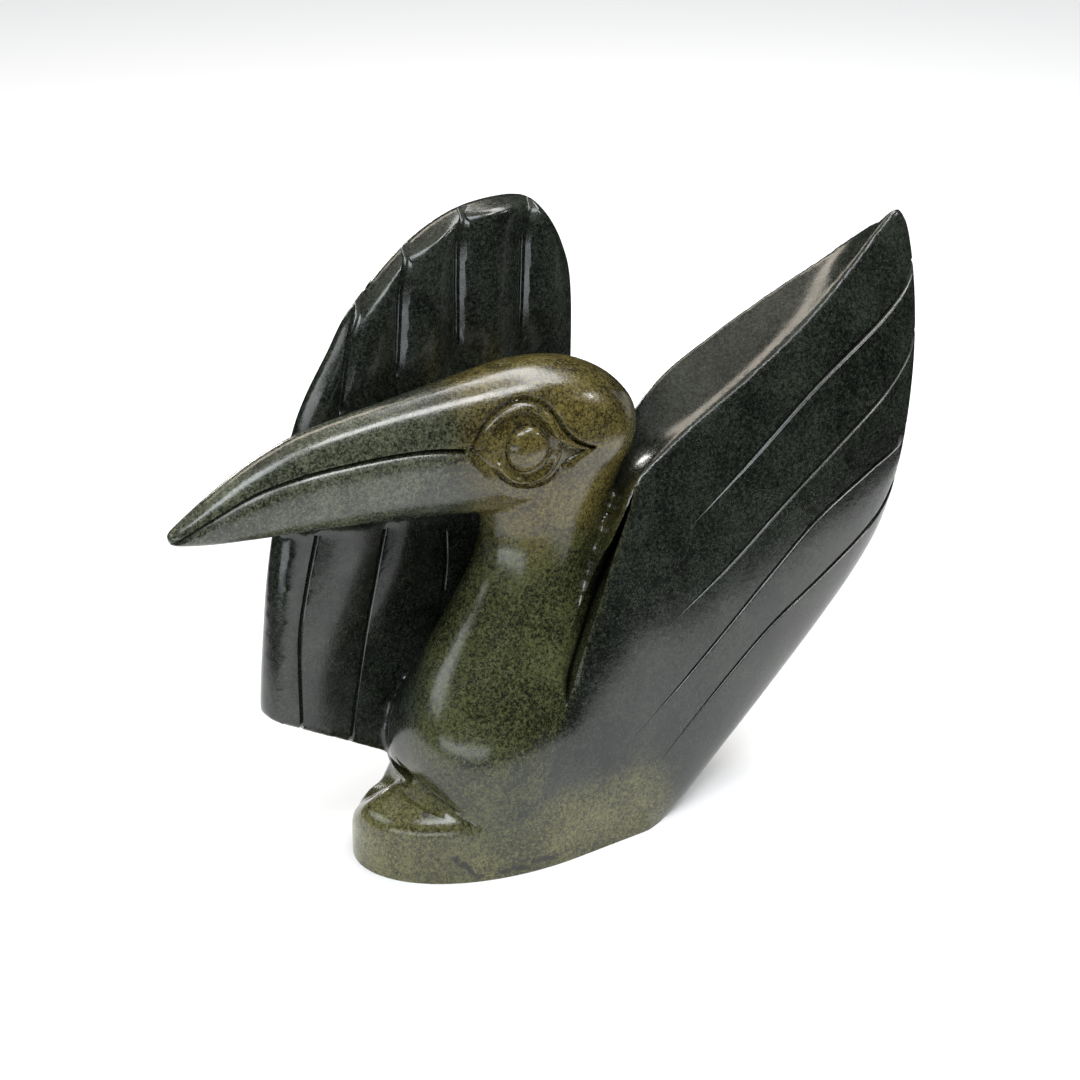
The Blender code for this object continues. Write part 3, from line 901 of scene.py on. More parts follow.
@dataclass
class EyeRelief:
    """Domed eye in an almond of two lids, drawn in side view on the near side."""

    middle: Point2 = (2.6, 180.7)
    half_long: float = 9.0
    half_tall: float = 10.0
    upper_groove: tuple[Point2, ...] = (
        (-22.5, 184.6), (-19.6, 188.6), (-15.6, 194.0), (-8.3, 198.8), (-0.8, 200.9),
        (5.4, 200.7), (10.6, 198.8), (14.2, 195.4), (16.9, 190.8), (19.0, 186.0),
        (22.6, 181.4), (27.5, 177.6), (33.6, 174.6),
    )
    upper_lip: tuple[Point2, ...] = (
        (-17.0, 184.9), (-14.7, 189.4), (-10.6, 193.2), (-4.5, 196.0), (2.2, 196.3), (8.2, 194.0),
        (11.8, 190.0), (14.4, 185.4), (18.5, 181.0), (23.2, 178.0), (28.6, 175.6),
    )
    lower_groove: tuple[Point2, ...] = (
        (-21.6, 184.6), (-16.6, 179.0), (-11.8, 173.6), (-7.7, 169.2), (-2.4, 164.9), (4.6, 162.3),
        (11.2, 162.6), (15.6, 165.4), (18.6, 169.6), (22.8, 172.9), (29.4, 175.1),
    )
    lower_edge: tuple[Point2, ...] = (
        (-25.5, 183.2), (-23.3, 180.6), (-20.6, 176.8), (-15.6, 170.4), (-10.4, 164.8), (-3.4, 159.6),
        (4.6, 156.6), (11.4, 157.3), (18.2, 161.4), (22.6, 167.4), (26.4, 171.6), (33.6, 174.5),
    )
    lower_ring: tuple[Point2, ...] = (
        (-10.0, 175.6), (-7.4, 171.6), (-3.4, 168.0), (2.0, 166.0), (7.4, 166.2),
        (11.6, 168.8), (14.9, 173.4), (16.0, 178.2), (15.3, 183.2),
    )
    reach: Point2 = (-32.0, 40.0)
    tall: Point2 = (150.0, 207.0)
    cell: float = 0.5
    groove_deep: float = 2.5
    dome_low: float = -2.6
    dome_high: float = 4.9
    ring_high: float = 2.3

    def zone(self, points: np.ndarray) -> np.ndarray:
        """Pick the corners around the eye, on the near side.

        Args:
            points: Places in millimetres, one row each.

        Returns:
            True for each corner that is picked.
        """
        inside = (points[:, 0] > self.reach[0]) & (points[:, 0] < self.reach[1])
        inside &= (points[:, 2] > self.tall[0]) & (points[:, 2] < self.tall[1])
        return inside & (points[:, 1] < -6.0)

    def refine(self, body: bpy.types.Object) -> None:
        """Divide the faces around the eye until they are small enough to carve.

        Args:
            body: The stone.
        """
        mesh = bmesh.new()
        mesh.from_mesh(body.data)
        for _ in range(4):
            places = np.array([v.co for v in mesh.verts]) / MM
            inside = self.zone(places)
            mesh.verts.index_update()
            edges = []
            for edge in mesh.edges:
                one, two = edge.verts
                if (inside[one.index] or inside[two.index]) and edge.calc_length() > self.cell * 1.35 * MM:
                    edges.append(edge)
            if not edges:
                break
            bmesh.ops.subdivide_edges(mesh, edges=edges, cuts=1, use_grid_fill=True)
            bmesh.ops.triangulate(mesh, faces=[f for f in mesh.faces if len(f.verts) > 4])
        places = np.array([v.co for v in mesh.verts]) / MM
        inside = self.zone(places)
        mesh.verts.ensure_lookup_table()
        soft = [v for v, flag in zip(mesh.verts, inside) if flag]
        for _ in range(8):
            bmesh.ops.smooth_vert(
                mesh, verts=soft, factor=0.5, use_axis_x=True, use_axis_y=True, use_axis_z=True
            )
        mesh.to_mesh(body.data)
        mesh.free()

    def heights(self, flat: np.ndarray) -> np.ndarray:
        """Height of the relief above the smooth head.

        Args:
            flat: Places along X and heights, one row each.

        Returns:
            The height at each place, in millimetres.
        """
        upper_groove = smooth_rows(self.upper_groove, 4)
        upper_lip = smooth_rows(self.upper_lip, 4)
        lower_groove = smooth_rows(self.lower_groove, 4)
        lower_edge = smooth_rows(self.lower_edge, 4)
        from_groove = line_distance(flat, upper_groove)
        from_lip = line_distance(flat, upper_lip)
        from_lower = line_distance(flat, lower_groove)
        from_edge = line_distance(flat, lower_edge)
        from_ring = line_distance(flat, smooth_rows(self.lower_ring, 4))
        whole = inside_outline(flat, upper_groove + lower_edge[::-1])
        opening = inside_outline(flat, upper_lip + lower_groove[::-1])
        upper_band = inside_outline(flat, upper_groove + upper_lip[::-1])
        lower_band = whole & ~opening & ~upper_band
        deep = self.groove_deep
        high = np.zeros(len(flat))
        outer = ~whole
        wall = np.clip(1.0 - from_groove / 1.5, 0.0, 1.0)
        above = inside_outline(flat, upper_groove + [(40.0, 215.0), (-40.0, 215.0)])
        high = np.where(outer & above, -deep * wall, high)
        share = from_groove / np.maximum(from_groove + from_lip, 1e-6)
        band = np.interp(share, [0.0, 0.25, 0.5, 0.85, 1.0], [-deep, -1.0, 0.0, 0.4, 0.2])
        high = np.where(upper_band, band, high)
        share = from_lower / np.maximum(from_lower + from_edge, 1e-6)
        band = np.interp(share, [0.0, 0.15, 1.0], [-deep, -1.25, 0.15])
        high = np.where(lower_band, band, high)
        share = from_lower / np.maximum(from_lower + from_lip, 1e-6)
        floor = -2.1 - 0.5 * share
        floor = np.maximum(floor, 0.1 - 2.2 * from_lip / 0.9)
        floor = np.minimum(floor, -deep + 0.9 * from_lower / 0.8)
        ring = self.ring_high * np.exp(-((from_ring / 1.75) ** 2)) * blend_step(from_lower, 0.2, 1.6)
        floor = floor + ring
        round_at = np.hypot(
            (flat[:, 0] - self.middle[0]) / self.half_long,
            (flat[:, 1] - self.middle[1]) / self.half_tall,
        )
        crevice = 1.0 - np.clip(np.abs(round_at - 1.0) / 0.085, 0.0, 1.0)
        floor = floor - 0.5 * crevice
        dome = self.dome_low + self.dome_high * np.sqrt(np.clip(1.0 - round_at**2, 0.0, 1.0)) ** 0.9
        floor = np.where(round_at < 1.0, np.maximum(dome, floor), floor)
        return np.where(opening, floor, high)

    def carve(self, body: bpy.types.Object) -> None:
        """Refine the head around the eye and press the relief into it.

        Args:
            body: The stone.
        """
        self.refine(body)
        points = read_points(body)
        normals = read_normals(body)
        picked = np.nonzero(self.zone(points) & (normals[:, 1] < -0.25))[0]
        flat = points[picked][:, [0, 2]]
        points[picked] += normals[picked] * self.heights(flat)[:, None]
        write_points(body, points)


@dataclass(frozen=True)
class Gouge:
    """Cross section of a carved line: places across it and above the stone."""

    section: tuple[Point2, ...]


def gouge(half: Sequence[Point2]) -> Gouge:
    """Mirror half a cross section about the line.

    Args:
        half: Places across and above, from the outside to the bottom.

    Returns:
        The whole cross section.
    """
    other = [(-across, out) for across, out in half[:-1]]
    return Gouge(tuple(other) + (half[-1],) + tuple(reversed(half[:-1])))


FEATHER_GOUGE = gouge(
    ((2.6, 1.6), (1.35, 0.08), (1.0, -0.2), (0.72, -0.7), (0.45, -1.5), (0.0, -2.0))
)
WIDE_GOUGE = gouge(
    ((3.6, 1.7), (2.2, 0.06), (1.75, -0.25), (1.4, -0.8), (1.05, -1.7), (0.5, -2.2), (0.0, -2.3))
)
MOUTH_GOUGE = Gouge(
    (
        (-6.4, 2.4), (-3.2, 0.05), (-2.5, -0.5), (-0.5, -2.2),
        (-0.1, -3.4), (0.5, -3.2), (0.8, 0.1), (1.5, 2.4),
    )
)


@dataclass
class LineCutter:
    """Makes the cutter of a gouge that is drawn along a line on the stone."""

    find: Finder
    leap: float = 9.0

    def trace(
        self, line: Sequence[Point2], steps: int, start: float, side: Side, fall: float
    ) -> list[Point3]:
        """Lay a side view line on the surface, carried on past an edge.

        Args:
            line: Places along X and heights.
            steps: Parts that each gap is divided into.
            start: Side place that the search starts from.
            side: The side that is carved.
            fall: How fast the line drops away past an edge.

        Returns:
            Points on the surface.
        """
        path: list[Point3] = []
        y: Optional[float] = None
        way = -side.value
        for x, z in smooth_rows(line, steps):
            found = self.find(x, z, start, way)
            if found is None or (y is not None and abs(found - y) > self.leap):
                found = (0.0 if y is None else y) + way * fall
            y = found
            path.append((x, y, z))
        return path

    def cutter(
        self, name: str, path: Sequence[Point3], sizes: Sequence[float], gouge: Gouge, side: Side
    ) -> bpy.types.Object:
        """Sweep the gouge along a path.

        Args:
            name: Name of the cutter.
            path: Points on the surface.
            sizes: Share of the gouge's full size at each point.
            gouge: The cross section.
            side: The side that is carved.

        Returns:
            The cutter.
        """
        rings = []
        last = len(path) - 1
        for i, (x, y, z) in enumerate(path):
            before = path[max(i - 1, 0)]
            after = path[min(i + 1, last)]
            dx, dz = after[0] - before[0], after[2] - before[2]
            length = math.hypot(dx, dz) or 1.0
            nx, nz = -dz / length, dx / length
            size = sizes[i]
            ring = []
            for across, out in gouge.section:
                wide = across * size
                high = out * size if out < 0.3 else out
                ring.append((x + nx * wide, y + side.value * high, z + nz * wide))
            rings.append(ring)
        return loft(name, rings)


def grow(count: int, first: float, last: float, ends: float = 0.2) -> list[float]:
    """Shares of full size along a line that starts from almost nothing.

    Args:
        count: Number of points.
        first: Share reached near the start.
        last: Share at the end.
        ends: Part of the length over which it grows.

    Returns:
        One share for each point.
    """
    out = []
    for i in range(count):
        t = i / max(count - 1, 1)
        out.append((first + (last - first) * t) * min(0.08 + t / ends, 1.0))
    return out


@dataclass
class FeatherLines:
    """Incised lines of the feathers on both wings."""

    wing: RightWing
    left: tuple[tuple[Point2, ...], ...] = (
        ((75.0, 133.0), (109.0, 155.5), (145.5, 180.0), (182.5, 202.0), (202.5, 217.0), (213.0, 229.0)),
        (
            (55.5, 92.0), (90.0, 111.5), (123.0, 133.0), (154.0, 152.0),
            (184.0, 170.5), (201.0, 185.5), (213.0, 199.0),
        ),
        (
            (38.0, 49.5), (63.5, 66.0), (85.0, 81.5), (114.0, 103.0),
            (142.5, 122.5), (173.0, 136.0), (196.5, 144.0), (212.0, 162.0),
        ),
        (
            (53.5, 34.0), (83.0, 57.0), (114.0, 78.5), (144.0, 93.0),
            (175.0, 108.0), (190.0, 119.0), (206.0, 138.0),
        ),
    )
    right_low: tuple[tuple[Point2, ...], ...] = (
        ((-85.5, 55.0), (-85.0, 75.0), (-83.0, 104.0), (-78.0, 124.5), (-71.0, 146.0)),
        ((-63.5, 42.0), (-60.0, 60.0), (-51.5, 93.5), (-44.0, 118.5), (-37.5, 139.0)),
        ((-9.5, 103.0), (-7.2, 116.0), (-6.8, 129.0)),
    )
    right_high: tuple[tuple[Point2, ...], ...] = (
        ((-55.5, 193.0), (-52.0, 208.0), (-47.5, 222.0), (-41.0, 232.0), (-34.0, 243.0)),
        ((-26.5, 202.0), (-24.0, 221.0), (-21.5, 238.0), (-16.0, 251.0), (-11.0, 263.0)),
        ((5.0, 205.5), (6.7, 235.0), (8.4, 251.0), (13.0, 262.0), (17.0, 273.0)),
        ((38.0, 200.0), (41.0, 232.0), (43.0, 249.0), (48.5, 260.0), (54.0, 271.0)),
    )
    outer: tuple[tuple[Point2, ...], ...] = (
        ((-70.0, 66.0), (-66.0, 120.0), (-48.0, 185.0), (-30.0, 250.0)),
        ((-34.0, 66.0), (-30.0, 120.0), (-15.0, 190.0), (4.0, 272.0)),
        ((4.0, 76.0), (8.0, 130.0), (20.0, 200.0), (32.0, 274.0)),
    )

    right_low_size: float = 0.9
    before: float = 8.0
    slip_step: float = 2.4

    def inner_path(self, find: Finder, line: Sequence[Point2]) -> list[Point3]:
        """Lay a line on the right wing's inner face, carried on past its edge.

        Args:
            find: Surface finder of the uncarved stone.
            line: The line in side view.

        Returns:
            Points on the surface.
        """
        path = []
        slip = 0.0
        for x, z in smooth_rows(line, 5):
            plane = self.wing.inner(x, z)
            found = find(x, z, plane - self.before, 1.0)
            if found is None or found > plane + self.wing.thick(z):
                slip += self.slip_step
                found = plane + slip
            else:
                slip = found - plane
            path.append((x, found, z))
        return path

    def cutters(self, find: Finder) -> list[bpy.types.Object]:
        """Make every feather line's cutter.

        Args:
            find: Surface finder of the uncarved stone.

        Returns:
            The cutters.
        """
        tool = LineCutter(find)
        out = []
        for k, line in enumerate(self.left):
            path = tool.trace(line, 8, -90.0, Side.NEAR, 2.5)
            sizes = grow(len(path), 0.72, 1.35)
            out.append(tool.cutter(f"left_{k}", path, sizes, FEATHER_GOUGE, Side.NEAR))
        for k, line in enumerate(self.right_low):
            path = self.inner_path(find, line)
            sizes = [self.right_low_size] * len(path)
            out.append(tool.cutter(f"low_{k}", path, sizes, FEATHER_GOUGE, Side.NEAR))
        for k, line in enumerate(self.right_high):
            path = self.inner_path(find, line)
            sizes = grow(len(path), 0.8, 1.1, 0.01)
            out.append(tool.cutter(f"high_{k}", path, sizes, WIDE_GOUGE, Side.NEAR))
        for k, line in enumerate(self.outer):
            path = tool.trace(line, 8, 120.0, Side.FAR, 2.0)
            sizes = grow(len(path), 0.8, 1.1)
            out.append(tool.cutter(f"outer_{k}", path, sizes, FEATHER_GOUGE, Side.FAR))
        return out


@dataclass
class MouthLine:
    """The mouth: a steep cut under the upper beak with a bevelled lip below it."""

    line: tuple[Point2, ...] = (
        (-150.5, 168.0),
        (-143.0, 172.9),
        (-125.8, 180.6),
        (-111.5, 185.6),
        (-98.0, 187.9),
        (-86.7, 188.9),
        (-69.8, 189.2),
        (-53.8, 188.9),
        (-37.6, 187.7),
        (-24.5, 185.4),
    )
    far_end: float = -46.0
    first_size: float = 0.45
    size_step: float = 0.04
    near_size: float = 1.0
    far_size: float = 0.8

    def cutters(self, find: Finder, wing: RightWing) -> list[bpy.types.Object]:
        """Make the cutters of both sides of the mouth.

        Args:
            find: Surface finder of the uncarved stone.
            wing: The right wing beside the beak.

        Returns:
            The near and the far cutter.
        """
        tool = LineCutter(find)
        path = tool.trace(self.line, 5, -60.0, Side.NEAR, 0.0)
        sizes = [min(self.near_size, self.first_size + self.size_step * k) for k in range(len(path))]
        out = [tool.cutter("mouth_near", path, sizes, MOUTH_GOUGE, Side.NEAR)]
        far: list[Point3] = []
        for x, z in smooth_rows([p for p in self.line if p[0] < self.far_end], 5):
            found = find(x, z, wing.inner(x, z) - 1.0, -1.0)
            if found is None:
                found = far[-1][1] if far else 0.0
            far.append((x, found, z))
        sizes = [min(self.far_size, self.first_size + self.size_step * k) for k in range(len(far))]
        out.append(tool.cutter("mouth_far", far, sizes, MOUTH_GOUGE, Side.FAR))
        return out


@dataclass
class NeckSlit:
    """Slit between the neck and the left wing, from the foot upwards.

    Each row holds the neck lip, the wing lip and the root, each as place
    along X, side place and height.
    """

    rows: tuple[tuple[Point3, Point3, Point3], ...] = (
        ((7.0, -41.5, 71.5), (8.4, -42.0, 71.5), (8.4, -40.6, 72.0)),
        ((6.8, -38.5, 82.0), (12.0, -41.0, 79.5), (15.0, -33.0, 79.0)),
        ((8.8, -34.0, 91.5), (17.5, -39.5, 91.0), (23.0, -28.0, 88.5)),
        ((15.0, -30.5, 100.0), (23.3, -38.3, 103.0), (32.0, -23.0, 99.0)),
        ((24.5, -26.5, 109.0), (29.3, -37.0, 114.5), (40.0, -19.0, 109.0)),
        ((35.0, -24.5, 120.0), (35.8, -35.0, 128.0), (49.0, -16.5, 121.0)),
        ((43.5, -24.0, 131.5), (42.2, -33.0, 139.0), (57.0, -15.0, 134.0)),
        ((50.0, -23.5, 143.0), (48.3, -30.0, 147.8), (63.0, -13.0, 146.0)),
        ((56.0, -22.5, 152.0), (53.6, -26.0, 154.5), (68.0, -12.0, 157.0)),
    )
    clear: float = 0.5

    def cutter(self) -> bpy.types.Object:
        """Loft the slit.

        Returns:
            The cutter.
        """
        rings = []
        for neck_lip, wing_lip, root in row_groups(self.rows, 8):
            rings.append([past(root, neck_lip, self.clear), past(root, wing_lip, self.clear), root])
        return loft("slit", rings)


@dataclass
class LedgeNotch:
    """Scooped notch between the base's front ledge and the breast.

    Each row holds the crease, the scoop's bottom, the ledge lip and the place
    above them.
    """

    rows: tuple[tuple[Point3, ...], ...] = (
        ((-31.5, -40.8, 25.6), (-31.8, -41.2, 25.6), (-32.2, -41.7, 25.8), (-32.6, -41.7, 26.8)),
        ((-36.0, -36.5, 28.8), (-38.5, -37.0, 27.0), (-40.8, -37.2, 27.2), (-42.0, -38.5, 35.0)),
        ((-40.0, -27.0, 32.2), (-44.3, -28.5, 28.6), (-49.0, -28.0, 29.2), (-50.0, -29.0, 46.0)),
        ((-42.6, -16.0, 34.8), (-48.0, -17.0, 30.2), (-54.6, -17.0, 32.0), (-53.5, -16.0, 54.0)),
        ((-44.3, -6.0, 37.0), (-50.0, -6.0, 32.0), (-57.5, -6.0, 33.0), (-54.0, -5.0, 55.0)),
        ((-45.8, 1.0, 40.5), (-50.0, 1.5, 37.0), (-56.0, 2.0, 36.0), (-53.0, 1.0, 52.0)),
        ((-47.5, 5.0, 44.0), (-49.0, 5.2, 43.0), (-51.0, 5.5, 43.0), (-50.0, 5.0, 47.0)),
    )
    past_lip: float = 0.6
    past_top: float = 0.2

    def cutter(self) -> bpy.types.Object:
        """Loft the notch.

        Returns:
            The cutter.
        """
        rings = []
        for crease, scoop, lip, over in row_groups(self.rows, 8):
            rings.append([crease, scoop, past(scoop, lip, self.past_lip), past(crease, over, self.past_top)])
        return loft("notch", rings)


def row_groups(rows: Sequence[Sequence[Point3]], steps: int) -> list[list[Row]]:
    """Smooth rows that hold several points each.

    Args:
        rows: The rows.
        steps: Parts that each gap is divided into.

    Returns:
        The given rows with the new ones between them.
    """
    flat = [tuple(v for point in row for v in point) for row in rows]
    return [[row[k : k + 3] for k in range(0, len(row), 3)] for row in smooth_rows(flat, steps)]


def past(root: Row, lip: Row, share: float) -> Row:
    """Find the point beyond a lip on the line from the root.

    Args:
        root: Where the line starts.
        lip: The point it passes through.
        share: Share of the length by which it goes on.

    Returns:
        The point.
    """
    return tuple(b + share * (b - a) for a, b in zip(root, lip))


# The stone's finish.


class NodeBoard:
    """Adds and joins the nodes of one material."""

    def __init__(self, tree: bpy.types.NodeTree) -> None:
        """Start on an existing node tree."""
        self.tree = tree

    def add(self, kind: str, **settings: object) -> bpy.types.Node:
        """Add a node and set its plain properties.

        Args:
            kind: The node's type.
            settings: Its properties by name.

        Returns:
            The node.
        """
        node = self.tree.nodes.new(kind)
        for name, value in settings.items():
            setattr(node, name, value)
        return node

    def feed(self, socket: bpy.types.NodeSocket, value: object) -> None:
        """Join an output to a socket, or set the socket's own value.

        Args:
            socket: The input.
            value: An output, a number, a place or a colour.
        """
        if isinstance(value, bpy.types.NodeSocket):
            self.tree.links.new(value, socket)
        elif isinstance(value, tuple) and len(value) == 3 and socket.type == "RGBA":
            socket.default_value = (*value, 1.0)
        else:
            socket.default_value = value

    def math(self, operation: str, a: object, b: object = 0.0, c: object = 0.0) -> bpy.types.NodeSocket:
        """Combine numbers.

        Args:
            operation: What is done with them.
            a: First number or output.
            b: Second number or output.
            c: Third number or output.

        Returns:
            The result, as an output.
        """
        node = self.add("ShaderNodeMath", operation=operation)
        for socket, value in zip(node.inputs, (a, b, c)):
            self.feed(socket, value)
        return node.outputs[0]

    def vector(
        self, operation: str, a: object, b: object = (0.0, 0.0, 0.0), scale: object = 1.0
    ) -> bpy.types.Node:
        """Combine directions or places.

        Args:
            operation: What is done with them.
            a: First direction, place or output.
            b: Second direction, place or output.
            scale: Factor, used by SCALE alone.

        Returns:
            The node, which has a vector and a number as outputs.
        """
        node = self.add("ShaderNodeVectorMath", operation=operation)
        self.feed(node.inputs[0], a)
        self.feed(node.inputs[1], b)
        if operation == "SCALE":
            self.feed(node.inputs[3], scale)
        return node

    def noise(
        self, place: object, size: float, detail: float = 3.0, rough: float = 0.5, warp: float = 0.0
    ) -> bpy.types.Node:
        """Add soft noise.

        Args:
            place: The place, as an output.
            size: About the size of its spots, in millimetres.
            detail: Number of finer layers.
            rough: Strength of the finer layers.
            warp: How far the noise bends itself.

        Returns:
            The node.
        """
        node = self.add("ShaderNodeTexNoise")
        self.feed(node.inputs["Vector"], place)
        node.inputs["Scale"].default_value = 1.0 / (size * MM)
        node.inputs["Detail"].default_value = detail
        node.inputs["Roughness"].default_value = rough
        node.inputs["Distortion"].default_value = warp
        return node

    def remap(
        self, value: object, low: float, high: float, to_low: float = 0.0, to_high: float = 1.0
    ) -> bpy.types.NodeSocket:
        """Map a range of numbers smoothly onto another.

        Args:
            value: The number, as an output.
            low: Start of its range.
            high: End of its range.
            to_low: What the start becomes.
            to_high: What the end becomes.

        Returns:
            The result, as an output.
        """
        node = self.add("ShaderNodeMapRange", interpolation_type="SMOOTHSTEP")
        self.feed(node.inputs["Value"], value)
        node.inputs["From Min"].default_value = low
        node.inputs["From Max"].default_value = high
        node.inputs["To Min"].default_value = to_low
        node.inputs["To Max"].default_value = to_high
        return node.outputs["Result"]

    def mix(self, share: object, one: object, two: object) -> bpy.types.NodeSocket:
        """Mix two colours.

        Args:
            share: Share of the second colour.
            one: First colour.
            two: Second colour.

        Returns:
            The mixed colour, as an output.
        """
        node = self.add("ShaderNodeMix", data_type="RGBA")
        self.feed(node.inputs["Factor"], share)
        self.feed(node.inputs[6], one)
        self.feed(node.inputs[7], two)
        return node.outputs[2]


@dataclass(frozen=True)
class Plane:
    """Plane through a point, facing the side that counts as inside."""

    point: Point3
    facing: Point3
    soft: float


NECK_SIDE = Plane((29.3, -37.0, 114.5), (-0.771, 0.554, 0.313), 7.0)
BIRD_SIDE = Plane((-95.0, 15.0, 150.0), (0.09, -1.0, 0.07), 4.0)


@dataclass(frozen=True)
class StoneZone:
    """Part of the stone with its own colours, a rounded bar from start to end."""

    start: Point3
    end: Point3
    radius: float
    soft: float
    dark: Colour
    light: Colour
    bounds: tuple["Plane", ...] = ()


@dataclass(frozen=True)
class Vein:
    """Dark hairline in the stone from start to end."""

    start: Point3
    end: Point3
    width: float = 0.5
    strength: float = 0.85


@dataclass(frozen=True)
class PolishedSerpentine:
    """Waxed and polished serpentine, charcoal to olive, with dark veins and painted shade in its carved
    lines.
    """

    dark: Colour = (0.0022, 0.0030, 0.0022)
    light: Colour = (0.027, 0.032, 0.024)
    zones: tuple[StoneZone, ...] = (
        StoneZone(
            (-54.0, -2.0, 10.0), (36.0, -46.0, 2.0), 31.0, 24.0,
            (0.028, 0.026, 0.009), (0.158, 0.152, 0.058),
        ),
        StoneZone(
            (16.0, -14.0, 140.0), (-12.0, -28.0, 52.0), 38.0, 24.0,
            (0.006, 0.0075, 0.003), (0.080, 0.086, 0.034), (NECK_SIDE, BIRD_SIDE),
        ),
        StoneZone(
            (-150.0, 0.0, 172.0), (-40.0, 0.0, 184.0), 26.0, 18.0,
            (0.011, 0.014, 0.008), (0.100, 0.107, 0.070), (BIRD_SIDE,),
        ),
        StoneZone(
            (12.0, -6.0, 186.0), (22.0, -10.0, 172.0), 39.0, 28.0,
            (0.018, 0.014, 0.004), (0.138, 0.111, 0.031), (NECK_SIDE, BIRD_SIDE),
        ),
    )
    # Painted shade: the dark colour that carved lines and creases take on.
    crevice_shade_colour: Colour = (0.004, 0.005, 0.003)
    fleck: Colour = (0.005, 0.006, 0.004)
    vein: Colour = (0.006, 0.007, 0.005)
    glint: Colour = (0.32, 0.30, 0.17)
    drift_size: float = 45.0
    drift_reach: float = 36.0
    jitter_size: float = 6.0
    jitter_reach: float = 9.0
    grain_size: float = 0.55
    fleck_size: float = 2.4
    wear_size: float = 9.0
    relief_size: float = 3.2
    cloud_size: float = 26.0
    mottle_size: float = 1.5
    speck_size: float = 0.7
    veins: tuple[Vein, ...] = (
        Vein((-66.0, -9.0, 203.0), (-62.0, -13.0, 188.0), 0.8),
        Vein((-98.0, -8.0, 194.5), (-91.0, -11.0, 188.0), 0.6),
        Vein((-84.0, -12.0, 184.0), (-66.0, -13.0, 168.0), 0.35, 0.6),
        Vein((22.0, -23.5, 157.0), (28.0, -23.0, 146.0), 0.5),
        Vein((20.0, -25.0, 189.0), (26.0, -25.0, 182.0), 0.6),
        Vein((-58.0, 21.0, 136.0), (-41.0, 22.0, 100.0), 0.5),
        Vein((176.0, -25.0, 228.0), (192.0, -24.0, 222.0), 0.8),
        Vein((118.0, -39.0, 128.0), (142.0, -38.0, 118.0), 0.7),
        Vein((-50.0, -22.0, 30.0), (-43.0, -34.0, 12.0), 1.1),
        Vein((-43.0, -34.0, 12.0), (-34.0, -40.0, 2.0), 1.3),
        Vein((-30.0, -43.0, 3.0), (4.0, -48.0, 5.0), 1.2),
    )
    rough_low: float = 0.14
    rough_high: float = 0.30
    refraction: float = 1.52
    coat: float = 0.20
    coat_rough: float = 0.12
    bump: float = 0.22
    bump_height: float = 0.4
    # Reach of the painted shade in carved lines and creases, in millimetres.
    crevice_shade_reach: float = 3.0

    @staticmethod
    def bar_distance(board: NodeBoard, place: object, start: Point3, end: Point3) -> bpy.types.NodeSocket:
        """Distance in metres from a place to a bar.

        Args:
            board: Where the nodes go.
            place: The place, as an output.
            start: One end of the bar, in millimetres.
            end: The other end.

        Returns:
            The distance, as an output.
        """
        a = Vector(start) * MM
        along = (Vector(end) - Vector(start)) * MM
        offset = board.vector("SUBTRACT", place, tuple(a)).outputs["Vector"]
        dot = board.vector("DOT_PRODUCT", offset, tuple(along)).outputs["Value"]
        share = board.add("ShaderNodeClamp")
        board.feed(share.inputs["Value"], board.math("DIVIDE", dot, along.length_squared))
        step = board.vector("SCALE", tuple(along), scale=share.outputs[0]).outputs["Vector"]
        gap = board.vector("SUBTRACT", offset, step).outputs["Vector"]
        return board.vector("LENGTH", gap).outputs["Value"]

    @staticmethod
    def inside(board: NodeBoard, place: object, plane: Plane) -> bpy.types.NodeSocket:
        """Share by which a place lies inside a plane.

        Args:
            board: Where the nodes go.
            place: The place, as an output.
            plane: The plane.

        Returns:
            The share, as an output.
        """
        facing = Vector(plane.facing).normalized()
        height = facing.dot(Vector(plane.point)) * MM
        dot = board.vector("DOT_PRODUCT", place, tuple(facing)).outputs["Value"]
        return board.remap(board.math("SUBTRACT", dot, height), -plane.soft / 2 * MM, plane.soft / 2 * MM)

    def zone_colours(
        self, board: NodeBoard, place: object, still: object
    ) -> tuple[bpy.types.NodeSocket, bpy.types.NodeSocket]:
        """Mix each zone's dark and light colour over the stone's own.

        Args:
            board: Where the nodes go.
            place: The warped place, as an output.
            still: The place itself, as an output.

        Returns:
            The dark and the light colour, as outputs.
        """
        dark: object = self.dark
        light: object = self.light
        for zone in self.zones:
            far = self.bar_distance(board, place, zone.start, zone.end)
            inner = (zone.radius - zone.soft / 2) * MM
            outer = (zone.radius + zone.soft / 2) * MM
            share = board.remap(far, inner, outer, 1.0, 0.0)
            for plane in zone.bounds:
                share = board.math("MULTIPLY", share, self.inside(board, still, plane))
            dark = board.mix(share, dark, zone.dark)
            light = board.mix(share, light, zone.light)
        return dark, light

